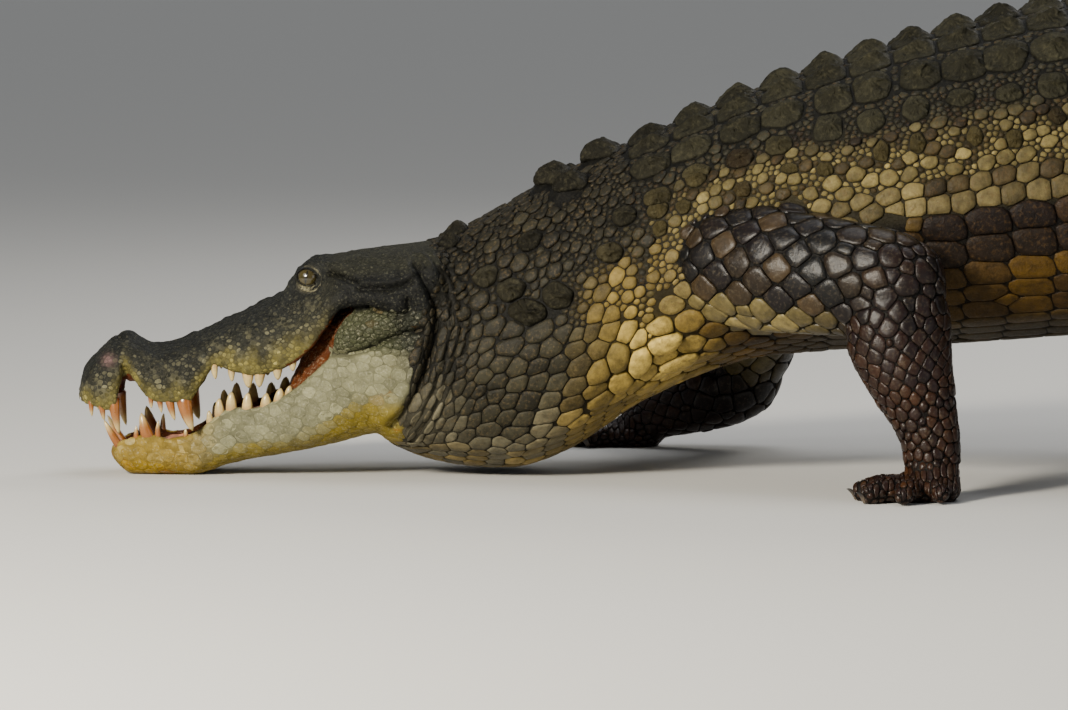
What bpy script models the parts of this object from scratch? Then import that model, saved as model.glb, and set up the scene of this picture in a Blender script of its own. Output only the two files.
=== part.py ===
"""Mugger crocodile, life size, stepping forward with its jaw on the floor and its mouth part open.

Metres, +Z up. The snout points along -X, the tail along +X and the animal's left side along -Y.
"""

import math

import bmesh
import bpy
import numpy as np
from mathutils import Matrix, Vector

GAP = 0.0004  # clear space between neighbouring solids
FLAT = math.radians(0.8)  # faces that meet within this angle become one
SHARP = math.radians(50)  # edges that bend more than this stay crisp

# Head. Sizes run along X from the tip of the snout; each pair is (x, size).
HEAD_END = 0.4565  # mid-height of the slanted joint with the neck
HEAD_STATIONS = (
    0.005, 0.018, 0.034, 0.050, 0.059, 0.066, 0.076, 0.094, 0.118, 0.145, 0.162, 0.178, 0.194, 0.222,
    0.255, 0.283, 0.299, 0.316, 0.333, 0.350, 0.366, 0.410,
)
HEAD_TOP = (
    (0, 0.112), (0.010, 0.146), (0.028, 0.166), (0.054, 0.186), (0.070, 0.191), (0.087, 0.183), (0.105, 0.176),
    (0.132, 0.180), (0.166, 0.193), (0.248, 0.231), (0.290, 0.251), (0.335, 0.281), (0.360, 0.295), (0.411, 0.305),
    (0.480, 0.318),
)
HEAD_WIDTH = (
    (0, 0.012), (0.004, 0.028), (0.014, 0.047), (0.028, 0.061), (0.044, 0.069), (0.057, 0.069), (0.068, 0.062),
    (0.080, 0.066), (0.125, 0.088), (0.152, 0.095), (0.185, 0.094), (0.250, 0.105), (0.350, 0.134), (0.400, 0.147),
    (0.440, 0.156), (0.480, 0.156),
)
TABLE_WIDTH = (
    (0, 0.006), (0.014, 0.026), (0.044, 0.042), (0.070, 0.036), (0.100, 0.046), (0.150, 0.058), (0.250, 0.063),
    (0.285, 0.065), (0.315, 0.074), (0.345, 0.081), (0.400, 0.085), (0.480, 0.092),
)
EDGE_RISE = (  # height of the table's edge above the midline: the brows stand up round the eyes
    (0, -0.010), (0.100, -0.010), (0.200, -0.012), (0.272, -0.006), (0.286, 0.005), (0.297, 0.020), (0.312, 0.023),
    (0.330, 0.016), (0.347, 0.004), (0.365, -0.001), (0.480, -0.004),
)
SIDE_ROUNDNESS = ((0, 2.1), (0.180, 2.0), (0.250, 1.6), (0.300, 0.82), (0.332, 0.82), (0.362, 1.25), (0.480, 1.7))
UPPER_LIP = (
    (0, 0.098), (0.020, 0.094), (0.046, 0.089), (0.057, 0.100), (0.066, 0.152), (0.073, 0.144), (0.084, 0.124),
    (0.098, 0.108), (0.115, 0.101), (0.152, 0.101), (0.166, 0.115), (0.180, 0.139), (0.193, 0.151), (0.207, 0.147),
    (0.245, 0.139), (0.275, 0.147), (0.302, 0.159), (0.324, 0.180), (0.347, 0.211), (0.356, 0.226), (0.366, 0.234),
    (0.480, 0.234),
)
PALATE = ((0, 0.104), (0.060, 0.122), (0.150, 0.140), (0.250, 0.166), (0.300, 0.186), (0.347, 0.218), (0.366, 0.234),
          (0.480, 0.234))

# Lower jaw.
JAW_STATIONS = (
    0.048, 0.056, 0.068, 0.086, 0.107, 0.130, 0.156, 0.178, 0.200, 0.226, 0.258, 0.284, 0.304, 0.322, 0.338, 0.350,
    0.364, 0.382, 0.412,
)
LOWER_LIP = (
    (0.045, 0.039), (0.060, 0.047), (0.105, 0.057), (0.125, 0.051), (0.148, 0.054), (0.172, 0.067), (0.196, 0.086),
    (0.214, 0.095), (0.240, 0.094), (0.262, 0.101), (0.288, 0.114), (0.316, 0.138), (0.340, 0.165), (0.352, 0.196),
    (0.364, 0.218), (0.380, 0.2285), (0.396, 0.234 - GAP), (0.480, 0.234 - GAP),
)
JAW_BOTTOM = (
    (0.045, 0.028), (0.052, 0.016), (0.062, 0.007), (0.076, 0.0), (0.160, 0.0), (0.186, 0.007), (0.207, 0.015),
    (0.302, 0.034), (0.356, 0.046), (0.411, 0.059), (0.440, 0.044), (0.480, 0.036),
)
JAW_WIDTH = (
    (0.045, 0.024), (0.052, 0.037), (0.065, 0.049), (0.085, 0.057), (0.150, 0.067), (0.180, 0.074), (0.250, 0.096),
    (0.350, 0.129), (0.400, 0.147), (0.440, 0.156), (0.480, 0.156),
)
MOUTH_FLOOR = (
    (0.045, 0.035), (0.090, 0.040), (0.150, 0.040), (0.200, 0.062), (0.260, 0.082), (0.285, 0.100), (0.302, 0.130),
    (0.318, 0.164), (0.332, 0.192), (0.347, 0.211), (0.366, 0.226), (0.396, 0.234 - GAP), (0.480, 0.234 - GAP),
)
# Teeth: (x of the root, length, radius at the root, lean of the tip along X).
UPPER_TEETH = (
    (0.022, 0.014, 0.0040, 0.001), (0.037, 0.015, 0.0048, 0.002), (0.055, 0.040, 0.0075, 0.004),
    (0.104, 0.012, 0.0042, 0.001), (0.116, 0.014, 0.0045, 0.002), (0.131, 0.024, 0.0062, 0.006),
    (0.152, 0.038, 0.0105, 0.009), (0.190, 0.017, 0.0045, 0.001), (0.214, 0.015, 0.0045, 0.001),
    (0.236, 0.018, 0.0068, 0.0), (0.253, 0.017, 0.0064, 0.0), (0.276, 0.014, 0.0060, 0.0),
    (0.296, 0.010, 0.0050, 0.0),
)
LOWER_TEETH = (
    (0.054, 0.030, 0.0060, -0.016), (0.083, 0.014, 0.0042, 0.0), (0.097, 0.029, 0.0090, -0.008),
    (0.112, 0.020, 0.0045, 0.0), (0.150, 0.010, 0.0042, 0.0),
    (0.184, 0.013, 0.0045, -0.001), (0.197, 0.020, 0.0062, -0.002), (0.213, 0.021, 0.0066, -0.001),
    (0.235, 0.021, 0.0066, 0.0), (0.260, 0.015, 0.0068, 0.0), (0.278, 0.014, 0.0066, 0.001),
    (0.291, 0.010, 0.0055, 0.001),
)
LONE_TOOTH = (0.086, 0.026, 0.0048, 0.004)  # on the right side only

EYE = (0.317, 0.0705, 0.269)
EYE_RADIUS = 0.0165

# Neck, trunk and tail: (x, top, bottom, half width, lean of the section), down the length of the body.
BODY = (
    (0.4565, 0.318, 0.036, 0.156, 0.149), (0.505, 0.330, 0.013, 0.152, 0.03), (0.580, 0.362, 0.008, 0.167, -0.06),
    (0.650, 0.397, 0.034, 0.183, -0.10), (0.740, 0.441, 0.097, 0.206, -0.12), (0.840, 0.487, 0.142, 0.229, -0.08),
    (0.930, 0.528, 0.164, 0.247, -0.03), (1.037, 0.567, 0.171, 0.263, 0.0), (1.190, 0.611, 0.179, 0.277, 0.0),
    (1.347, 0.646, 0.190, 0.277, 0.0), (1.500, 0.660, 0.202, 0.266, 0.0), (1.650, 0.650, 0.214, 0.240, 0.03),
    (1.780, 0.618, 0.222, 0.204, 0.06), (1.900, 0.565, 0.218, 0.168, 0.10), (2.050, 0.485, 0.180, 0.137, 0.15),
    (2.250, 0.385, 0.112, 0.108, 0.15), (2.450, 0.298, 0.050, 0.087, 0.12), (2.620, 0.240, 0.010, 0.072, 0.08),
    (2.740, 0.214, 0.0, 0.064, 0.03), (2.950, 0.176, 0.0, 0.047, 0.0), (3.200, 0.130, 0.0, 0.030, 0.0),
    (3.420, 0.078, 0.0, 0.016, 0.0), (3.560, 0.030, 0.0, 0.006, 0.0),
)
NECK_END = 0.760
TRUNK_END = 1.840
TAIL_SPLITS = (2.420, 2.980)
TAIL_END = 3.555
TAIL_SWAY = 0.20  # how far the tail's tip swings to the animal's right
SCUTE_PITCH = 0.059
KEEL_HEIGHT = 0.009
KEEL_ROWS = (0.12, 0.36, 0.58)  # across the back, as parts of the half width
WHORL_PITCH = 0.070
CREST_HEIGHT = ((1.84, 0.012), (2.30, 0.024), (2.70, 0.034), (3.10, 0.030), (3.56, 0.010))
CREST_SPREAD = ((1.84, 0.075), (2.30, 0.048), (2.70, 0.014), (2.82, 0.0), (3.56, 0.0))

# Raised scutes of the neck: (x, y, half length, half width, height).
NAPE_SCUTES = (
    (0.512, 0.022, 0.017, 0.019, 0.016), (0.506, 0.064, 0.015, 0.017, 0.014),
    (0.640, 0.033, 0.033, 0.031, 0.018), (0.704, 0.031, 0.032, 0.029, 0.017),
    (0.664, 0.097, 0.032, 0.028, 0.017),
)

# Limbs: each station is (x, y, z, radius up and down or fore and aft, radius across); +Y is outward here.
LEFT_ARM = (
    (0.850, 0.150, 0.298, 0.078, 0.070), (0.880, 0.190, 0.296, 0.083, 0.076), (0.945, 0.248, 0.290, 0.082, 0.068),
    (1.025, 0.300, 0.284, 0.076, 0.058), (1.088, 0.330, 0.279, 0.069, 0.055), (1.122, 0.343, 0.268, 0.058, 0.047),
    (1.142, 0.350, 0.260, 0.034, 0.028),
)
LEFT_FOREARM = (
    (1.092, 0.334, 0.280, 0.050, 0.040), (1.094, 0.338, 0.238, 0.070, 0.053), (1.097, 0.345, 0.198, 0.069, 0.053),
    (1.110, 0.355, 0.158, 0.059, 0.047), (1.127, 0.364, 0.112, 0.044, 0.038), (1.136, 0.370, 0.078, 0.038, 0.034),
    (1.138, 0.374, 0.048, 0.036, 0.031),
)
RIGHT_ARM = (
    (0.870, 0.150, 0.300, 0.076, 0.072), (0.888, 0.190, 0.278, 0.086, 0.082), (0.908, 0.248, 0.226, 0.080, 0.074),
    (0.922, 0.296, 0.168, 0.070, 0.062), (0.926, 0.322, 0.128, 0.060, 0.054), (0.926, 0.336, 0.102, 0.034, 0.032),
)
RIGHT_FOREARM = (
    (0.950, 0.324, 0.130, 0.040, 0.040), (0.922, 0.330, 0.112, 0.062, 0.054), (0.885, 0.338, 0.090, 0.061, 0.054),
    (0.845, 0.350, 0.070, 0.050, 0.046), (0.808, 0.360, 0.053, 0.039, 0.039), (0.778, 0.368, 0.042, 0.033, 0.035),
)
LEFT_THIGH = (
    (1.760, 0.080, 0.370, 0.110, 0.110), (1.740, 0.140, 0.375, 0.118, 0.118), (1.690, 0.225, 0.350, 0.106, 0.096),
    (1.630, 0.300, 0.318, 0.084, 0.074), (1.598, 0.335, 0.300, 0.070, 0.062), (1.580, 0.352, 0.286, 0.040, 0.036),
)
LEFT_SHANK = (
    (1.600, 0.330, 0.318, 0.046, 0.042), (1.612, 0.335, 0.280, 0.068, 0.058), (1.640, 0.345, 0.215, 0.066, 0.056),
    (1.670, 0.355, 0.150, 0.048, 0.044), (1.690, 0.362, 0.095, 0.038, 0.038), (1.696, 0.366, 0.055, 0.035, 0.036),
)
RIGHT_THIGH = (
    (1.760, 0.080, 0.370, 0.110, 0.110), (1.756, 0.140, 0.372, 0.118, 0.118), (1.745, 0.225, 0.325, 0.108, 0.098),
    (1.728, 0.300, 0.262, 0.086, 0.076), (1.718, 0.335, 0.228, 0.070, 0.064), (1.710, 0.352, 0.208, 0.040, 0.036),
)
RIGHT_SHANK = (
    (1.712, 0.322, 0.248, 0.044, 0.042), (1.740, 0.328, 0.226, 0.064, 0.058), (1.800, 0.334, 0.182, 0.062, 0.056),
    (1.860, 0.338, 0.136, 0.046, 0.044), (1.908, 0.342, 0.096, 0.037, 0.038), (1.930, 0.344, 0.062, 0.035, 0.036),
)

# Feet: where the sole is centred, its size, and each toe as (turn outward in degrees, length, radius, has a claw).
FOREFEET = {
    "left": dict(ankle=(1.138, 0.374, 0.052), sole=(1.122, 0.386), size=(0.044, 0.043), toes=(
        (-24, 0.068, 0.0150, True), (2, 0.084, 0.0170, True), (32, 0.088, 0.0165, True), (68, 0.078, 0.0140, False),
        (114, 0.064, 0.0125, False))),
    "right": dict(ankle=(0.782, 0.367, 0.046), sole=(0.752, 0.378), size=(0.044, 0.043), toes=(
        (-36, 0.068, 0.0150, True), (-12, 0.084, 0.0170, True), (12, 0.090, 0.0165, True), (38, 0.080, 0.0140, False),
        (70, 0.064, 0.0125, False))),
}
HINDFEET = {
    "left": dict(ankle=(1.694, 0.366, 0.058), sole=(1.640, 0.378), size=(0.078, 0.046), toes=(
        (-12, 0.150, 0.0165, True), (3, 0.172, 0.0170, True), (18, 0.168, 0.0160, True), (36, 0.142, 0.0140, False))),
    "right": dict(ankle=(1.926, 0.344, 0.060), sole=(1.870, 0.356), size=(0.078, 0.046), toes=(
        (-12, 0.150, 0.0165, True), (3, 0.172, 0.0170, True), (18, 0.168, 0.0160, True), (36, 0.142, 0.0140, False))),
}
WEB = ((0.050, 0.011, 0.046), (0.105, 0.007, 0.052), (0.132, 0.004, 0.046))  # along, half thickness, half width
CLAW_LENGTH = 0.030

COLOURS = {
    "head_hide": (0.110, 0.105, 0.075), "jaw_hide": (0.42, 0.38, 0.26), "neck_hide": (0.20, 0.18, 0.11),
    "body_hide": (0.155, 0.135, 0.080), "tail_hide": (0.120, 0.105, 0.065), "limb_hide": (0.115, 0.085, 0.055),
    "eye": (0.30, 0.27, 0.06), "claw": (0.055, 0.045, 0.035), "tongue": (0.62, 0.38, 0.22),
}
ROUGHNESS = {"eye": 0.06, "claw": 0.35, "tongue": 0.40}


def smooth(keys, x):
    """The size at x on a soft curve through the keys, which never overshoots a flat run."""
    xs = np.array([key[0] for key in keys], float)
    values = np.array([key[1] for key in keys], float)
    if x <= xs[0]:
        return float(values[0])
    if x >= xs[-1]:
        return float(values[-1])
    slopes = np.diff(values) / np.diff(xs)
    tangents = np.zeros(len(xs))
    tangents[0], tangents[-1] = slopes[0], slopes[-1]
    for i in range(1, len(xs) - 1):
        before, after = slopes[i - 1], slopes[i]
        if before * after > 0:
            tangents[i] = 2 * before * after / (before + after)
    i = int(np.searchsorted(xs, x) - 1)
    step = xs[i + 1] - xs[i]
    t = (x - xs[i]) / step
    return float(
        values[i] * (2 * t**3 - 3 * t**2 + 1)
        + tangents[i] * step * (t**3 - 2 * t**2 + t)
        + values[i + 1] * (3 * t**2 - 2 * t**3)
        + tangents[i + 1] * step * (t**3 - t**2)
    )


def collection(name, hidden=False):
    made = bpy.data.collections.new(name)
    bpy.context.scene.collection.children.link(made)
    made.hide_render = hidden
    return made


def material(name):
    made = bpy.data.materials.get(name) or bpy.data.materials.new(name)
    made.use_nodes = True
    shader = made.node_tree.nodes["Principled BSDF"]
    shader.inputs["Base Color"].default_value = (*COLOURS[name], 1)
    shader.inputs["Roughness"].default_value = ROUGHNESS.get(name, 0.55)
    return made


def add_object(name, bm, slot, group):
    bmesh.ops.recalc_face_normals(bm, faces=bm.faces)
    mesh = bpy.data.meshes.new(name)
    bm.to_mesh(mesh)
    bm.free()
    made = bpy.data.objects.new(name, mesh)
    if slot:
        mesh.materials.append(material(slot))
    else:
        made.display_type = "WIRE"
    group.objects.link(made)
    return made


def loft(rings, first_pole=None, last_pole=None):
    """A closed skin through rings of equal count, each end closed by a pole or a flat face."""
    bm = bmesh.new()
    rows = [[bm.verts.new(point) for point in ring] for ring in rings]
    count = len(rows[0])
    for low, high in zip(rows, rows[1:]):
        for i in range(count):
            j = (i + 1) % count
            bm.faces.new((low[i], low[j], high[j], high[i]))
    for row, pole in ((rows[0], first_pole), (rows[-1], last_pole)):
        if pole is None:
            bm.faces.new(row)
            continue
        tip = bm.verts.new(pole)
        for i in range(count):
            bm.faces.new((row[i], row[(i + 1) % count], tip))
    bmesh.ops.triangulate(bm, faces=bm.faces)
    return bm


def mirrored(half):
    """A whole ring from its right half, which runs from the top of the midline to the bottom."""
    return half + [(x, -y, z) for x, y, z in reversed(half[1:-1])]


def fattened(obj, by=GAP):
    """A hidden copy, grown by the gap, for cutting a neighbour."""
    bm = bmesh.new()
    bm.from_mesh(obj.data)
    bm.normal_update()
    moved = [(vert, vert.co + vert.normal * by * min(vert.calc_shell_factor(), 2.0)) for vert in bm.verts]
    for vert, place in moved:
        vert.co = place
    return add_object(obj.name + ".cut", bm, None, cutters)


def boolean(obj, other, operation):
    """The result of one exact Boolean, kept as the object's own mesh."""
    modifier = obj.modifiers.new(operation.lower(), "BOOLEAN")
    modifier.operation = operation
    modifier.solver = "EXACT"
    modifier.object = other
    bpy.context.view_layer.update()
    result = bpy.data.meshes.new_from_object(obj.evaluated_get(bpy.context.evaluated_depsgraph_get()))
    obj.modifiers.clear()
    obj.data = result
    bm = bmesh.new()
    bm.from_mesh(result)
    bmesh.ops.remove_doubles(bm, verts=bm.verts, dist=0.00002)
    bmesh.ops.dissolve_degenerate(bm, dist=0.00001, edges=bm.edges)
    bmesh.ops.dissolve_limit(bm, angle_limit=FLAT, verts=bm.verts, edges=bm.edges)
    bm.to_mesh(result)
    bm.free()
    return obj


def thinned(obj, ratio):
    """Drops the triangles that shape the surface least."""
    modifier = obj.modifiers.new("thin", "DECIMATE")
    modifier.ratio = ratio
    bpy.context.view_layer.update()
    result = bpy.data.meshes.new_from_object(obj.evaluated_get(bpy.context.evaluated_depsgraph_get()))
    obj.modifiers.clear()
    obj.data = result
    return obj


def cut_clear(obj, *neighbours):
    for neighbour in neighbours:
        boolean(obj, fattened(neighbour), "DIFFERENCE")
    return obj


def joined(obj, bm, name="piece"):
    return boolean(obj, add_object(name, bm, None, cutters), "UNION")


def lean(x, start):
    """How far a section of the head leans towards the slant of its joint with the neck."""
    share = min(1.0, max(0.0, (x - start) / (HEAD_END - start)))
    return BODY[0][4] * share * share


def head_ring(x):
    top, wide = smooth(HEAD_TOP, x), smooth(HEAD_WIDTH, x)
    table, edge = smooth(TABLE_WIDTH, x), top + smooth(EDGE_RISE, x)
    lip, palate = smooth(UPPER_LIP, x), smooth(PALATE, x)
    power = smooth(SIDE_ROUNDNESS, x)
    waist = lip + 0.35 * (edge - lip)
    rise = max(0.0, edge - top)
    half = [(0.0, top), (0.45 * table, top + 0.25 * rise + 0.15 * (edge - top)), (0.78 * table, edge + 0.15 * rise)]
    half.append((table, edge))
    for angle in (22, 45, 68):
        across = math.sin(math.radians(angle)) ** (2 / power)
        up = math.cos(math.radians(angle)) ** (2 / power)
        half.append((table + (wide - table) * across, waist + (edge - waist) * up))
    half += [(wide, waist), (0.99 * wide, lip + 0.3 * (waist - lip)), (0.95 * wide, lip)]
    half += [(0.86 * wide, lip + 0.3 * (palate - lip)), (0.74 * wide, palate), (0.35 * wide, palate), (0.0, palate)]
    slant = lean(x, 0.38)
    return mirrored([(x + slant * (z - 0.177), y, z) for y, z in half])


def jaw_ring(x):
    lip, bottom, wide = smooth(LOWER_LIP, x), smooth(JAW_BOTTOM, x), smooth(JAW_WIDTH, x)
    floor = min(smooth(MOUTH_FLOOR, x), smooth(PALATE, x) - GAP)
    tall = lip - bottom
    half = [(0.0, floor), (0.55 * wide, floor), (0.76 * wide, floor + 0.4 * (lip - floor)), (0.85 * wide, lip)]
    half += [(0.93 * wide, lip), (0.985 * wide, lip - 0.14 * tall), (wide, lip - 0.42 * tall)]
    half += [(0.965 * wide, bottom + 0.28 * tall), (0.84 * wide, bottom + 0.09 * tall), (0.58 * wide, bottom)]
    half += [(0.0, bottom)]
    slant = lean(x, 0.38)
    return mirrored([(x + slant * (z - 0.177), y, z) for y, z in half])


def tooth(root, tip, radius, sides):
    """A blunt cone from inside the gum to its tip."""
    root, tip = Vector(root), Vector(tip)
    axis = tip - root
    bm = bmesh.new()
    bmesh.ops.create_cone(
        bm, cap_ends=True, segments=sides, radius1=radius, radius2=0.22 * radius, depth=axis.length,
        matrix=Matrix.Translation((root + tip) / 2) @ axis.to_track_quat("Z", "Y").to_matrix().to_4x4(),
    )
    return bm


def add_teeth(obj, row, lip_keys, width_keys, up, sides=(1, -1)):
    inset = 0.905 if up < 0 else 0.885
    for x, length, radius, forward in row:
        for side in sides:
            lip = smooth(lip_keys, x)
            across = side * inset * smooth(width_keys, x)
            root = (x - 0.4 * forward, across * 0.97, lip - up * 0.007)
            tip = (x + forward, across * 1.02, lip + up * length)
            joined(obj, tooth(root, tip, radius, 7 if length > 0.025 else 5), "tooth")


def head_and_jaw():
    rings = [head_ring(x) for x in (*HEAD_STATIONS, HEAD_END)]
    nose = (0.0, 0.0, 0.112)
    skull = add_object("head", loft(rings, first_pole=nose), "head_hide", parts)
    rings = [jaw_ring(x) for x in (*JAW_STATIONS, HEAD_END)]
    chin = (0.0455, 0.0, 0.034)
    jaw = add_object("lower_jaw", loft(rings, first_pole=chin), "jaw_hide", parts)
    add_teeth(skull, UPPER_TEETH, UPPER_LIP, HEAD_WIDTH, -1)
    add_teeth(skull, (LONE_TOOTH,), PALATE, HEAD_WIDTH, -1, sides=(1,))
    add_teeth(jaw, LOWER_TEETH, LOWER_LIP, JAW_WIDTH, 1)
    thinned(skull, 0.68)
    thinned(jaw, 0.68)
    for side, sign in (("left", -1), ("right", 1)):
        bm = bmesh.new()
        place = Matrix.Translation((EYE[0], sign * EYE[1], EYE[2])) @ Matrix.Rotation(math.pi / 2, 4, "X")
        bmesh.ops.create_uvsphere(bm, u_segments=12, v_segments=6, radius=EYE_RADIUS, matrix=place)
        cut_clear(skull, add_object("eye_" + side, bm, "eye", parts))
    rings = []
    for x, wide, tall in ((0.112, 0.020, 0.006), (0.135, 0.029, 0.010), (0.200, 0.037, 0.014), (0.262, 0.036, 0.012)):
        floor = smooth(MOUTH_FLOOR, x) + 0.0006
        half = [(0.0, floor + tall), (0.6 * wide, floor + 0.85 * tall), (wide, floor + 0.3 * tall), (0.8 * wide, floor)]
        rings.append(mirrored([(x, y, z) for y, z in (*half, (0.0, floor))]))
    tongue = add_object("tongue", loft(rings), "tongue", parts)
    cut_clear(tongue, jaw)


def body_sizes(x):
    return [smooth([(row[0], row[i]) for row in BODY], x) for i in (1, 2, 3, 4)]


def place_section(x, slant, half, level):
    """A ring of the body, leaning by slant and turned to follow the sway of the tail."""
    along = max(0.0, (x - 1.80) / (TAIL_END - 1.80))
    sway = TAIL_SWAY * along * along * (1.8 - 0.8 * along)
    turn = math.atan(TAIL_SWAY * (3.6 * along - 2.4 * along * along) / (TAIL_END - 1.80))
    points = []
    for px, y, z in mirrored([(slant * (z - level), y, z) for y, z in half]):
        points.append((x + px - y * math.sin(turn), sway + y * math.cos(turn), z))
    return points


def body_half(x, keel):
    """The right half of a trunk or neck section, as (y, z), with rows of keels over the back."""
    top, bottom, wide, slant = body_sizes(x)
    tall = top - bottom
    widest = bottom + 0.43 * tall
    crown = top - KEEL_HEIGHT
    half = []
    for across in (0.0, 0.12, 0.24, 0.36, 0.47, 0.58, 0.73, 0.92):
        height = (1 - across**2.3) ** (1 / 2.3)
        bump = KEEL_HEIGHT * keel if across in KEEL_ROWS else 0.0
        half.append((across * wide, widest + (crown - widest) * height + bump))
    half.append((wide, widest))
    for across in (0.94, 0.76, 0.42, 0.0):
        height = (1 - across**2.6) ** (1 / 2.6)
        half.append((across * wide, widest + (bottom - widest) * height))
    return half, slant, (top + bottom) / 2


def body_ring(x, keel):
    half, slant, level = body_half(x, keel)
    return place_section(x, slant, half, level)


def body_rings(start, end, pitch, first_keel):
    """Sections from start to end, two to each scute: one in the groove, one at the keel's peak."""
    places = [(start, 0.2)]
    for groove in np.arange(first_keel, end - 0.25 * pitch, pitch):
        peak = groove + 0.6 * pitch
        if groove > start + 0.2 * pitch:
            places.append((groove, 0.15))
        if start + 0.01 < peak < end - 0.1 * pitch:
            places.append((peak, 1.0))
    places.append((end, 0.2))
    return [body_ring(x, keel) for x, keel in places]


def neck_and_trunk():
    places = [HEAD_END + GAP, 0.485, 0.520, 0.555, 0.590, 0.625, 0.660, 0.695, 0.728, NECK_END - GAP]
    neck = add_object("neck", loft([body_ring(x, 0.35) for x in places]), "neck_hide", parts)
    for x, across, half_long, half_wide, height in NAPE_SCUTES:
        top, bottom, _, slant = body_sizes(x)
        top, bottom, wide, _ = body_sizes(x - slant * (top - bottom) / 2)  # the section whose top leans to x
        widest = 0.43 * (top - bottom) + bottom
        share = across / wide
        z = widest + (top - KEEL_HEIGHT - widest) * (1 - share**2.3) ** (1 / 2.3)
        slope = (body_sizes(x + 0.02)[0] - body_sizes(x - 0.02)[0]) / 0.04
        for side in (1, -1):
            bm = bmesh.new()
            tilt = Matrix.Rotation(-math.atan(slope), 4, "Y") @ Matrix.Rotation(-side * 1.1 * share, 4, "X")
            size = Matrix.Translation((0, 0, height / 2 - 0.004)) @ Matrix.Diagonal((half_long, half_wide, height, 1))
            place = Matrix.Translation((x, side * across, z)) @ tilt @ size
            bmesh.ops.create_cone(bm, cap_ends=True, segments=6, radius1=1.1, radius2=0.36, depth=1, matrix=place)
            joined(neck, bm, "scute")
    rings = body_rings(NECK_END, TRUNK_END - GAP, SCUTE_PITCH, 0.745)
    trunk = add_object("trunk", loft(rings), "body_hide", parts)
    return neck, trunk


def tail_ring(x, peak):
    top, bottom, wide, slant = body_sizes(x)
    crest = smooth(CREST_HEIGHT, x)
    spread = min(smooth(CREST_SPREAD, x), 0.62 * wide)
    tall = top - bottom
    crown = top - crest
    tip = crown + crest * (1.0 if peak else 0.25)
    widest = bottom + 0.46 * tall
    thin = min(0.006, 0.25 * wide)
    if spread > 0.012:
        half = [(0.0, crown), (spread - thin, crown), (spread, tip), (spread + thin, crown - 0.1 * crest)]
    else:
        half = [(0.0, tip), (0.4 * thin, tip), (thin, crown), (1.6 * thin, crown - 0.1 * crest)]
    shoulder = half[-1]
    half.append((shoulder[0] + 0.78 * (wide - shoulder[0]), widest + 0.66 * (shoulder[1] - widest)))
    half.append((wide, widest))
    half += [(0.84 * wide, bottom + 0.18 * (widest - bottom)), (0.42 * wide, bottom), (0.0, bottom)]
    return place_section(x, slant, half, (top + bottom) / 2)


def tail():
    ends = (TRUNK_END, *TAIL_SPLITS, TAIL_END)
    made = []
    for name, start, end in zip(("tail_base", "tail_middle", "tail_end"), ends, ends[1:]):
        last = end == TAIL_END
        count = round((end - start) / (WHORL_PITCH * (0.8 if last else 1.0)))
        pitch = (end - start - GAP) / count
        rings = [tail_ring(start, False)]
        for i in range(count):
            rings.append(tail_ring(start + pitch * (i + 0.62), True))
            rings.append(tail_ring(start + pitch * (i + 1), False))
        made.append(add_object(name, loft(rings), "tail_hide", parts))
    return made


def tube(stations, side, sides=10):
    """A limb through its stations: an ellipse across the path at each, rounded off at both ends."""
    centres = [Vector((x, side * y, z)) for x, y, z, _, _ in stations]
    rings = []
    for i, (_, _, _, tall, across) in enumerate(stations):
        before, after = centres[max(i - 1, 0)], centres[min(i + 1, len(centres) - 1)]
        axis = (after - before).normalized()
        outward = Vector((0, side, 0)) - axis * axis.y * side
        if outward.length < 0.3:
            outward = Vector((1, 0, 0)) - axis * axis.x
        outward.normalize()
        other = axis.cross(outward)
        ring = []
        for step in range(sides):
            angle = 2 * math.pi * step / sides
            ring.append(centres[i] + outward * across * math.cos(angle) + other * tall * math.sin(angle))
        rings.append(ring)
    first = centres[0] + (centres[0] - centres[1]).normalized() * 0.3 * stations[0][4]
    last = centres[-1] + (centres[-1] - centres[-2]).normalized() * 0.35 * stations[-1][4]
    return loft(rings, first, last)


def toe_path(sole, turn, side):
    """Where a toe starts, at the middle of the sole, and the way it points along the floor."""
    angle = math.radians(turn)
    return Vector((sole[0], side * sole[1], 0)), Vector((-math.cos(angle), side * math.sin(angle), 0))


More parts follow.
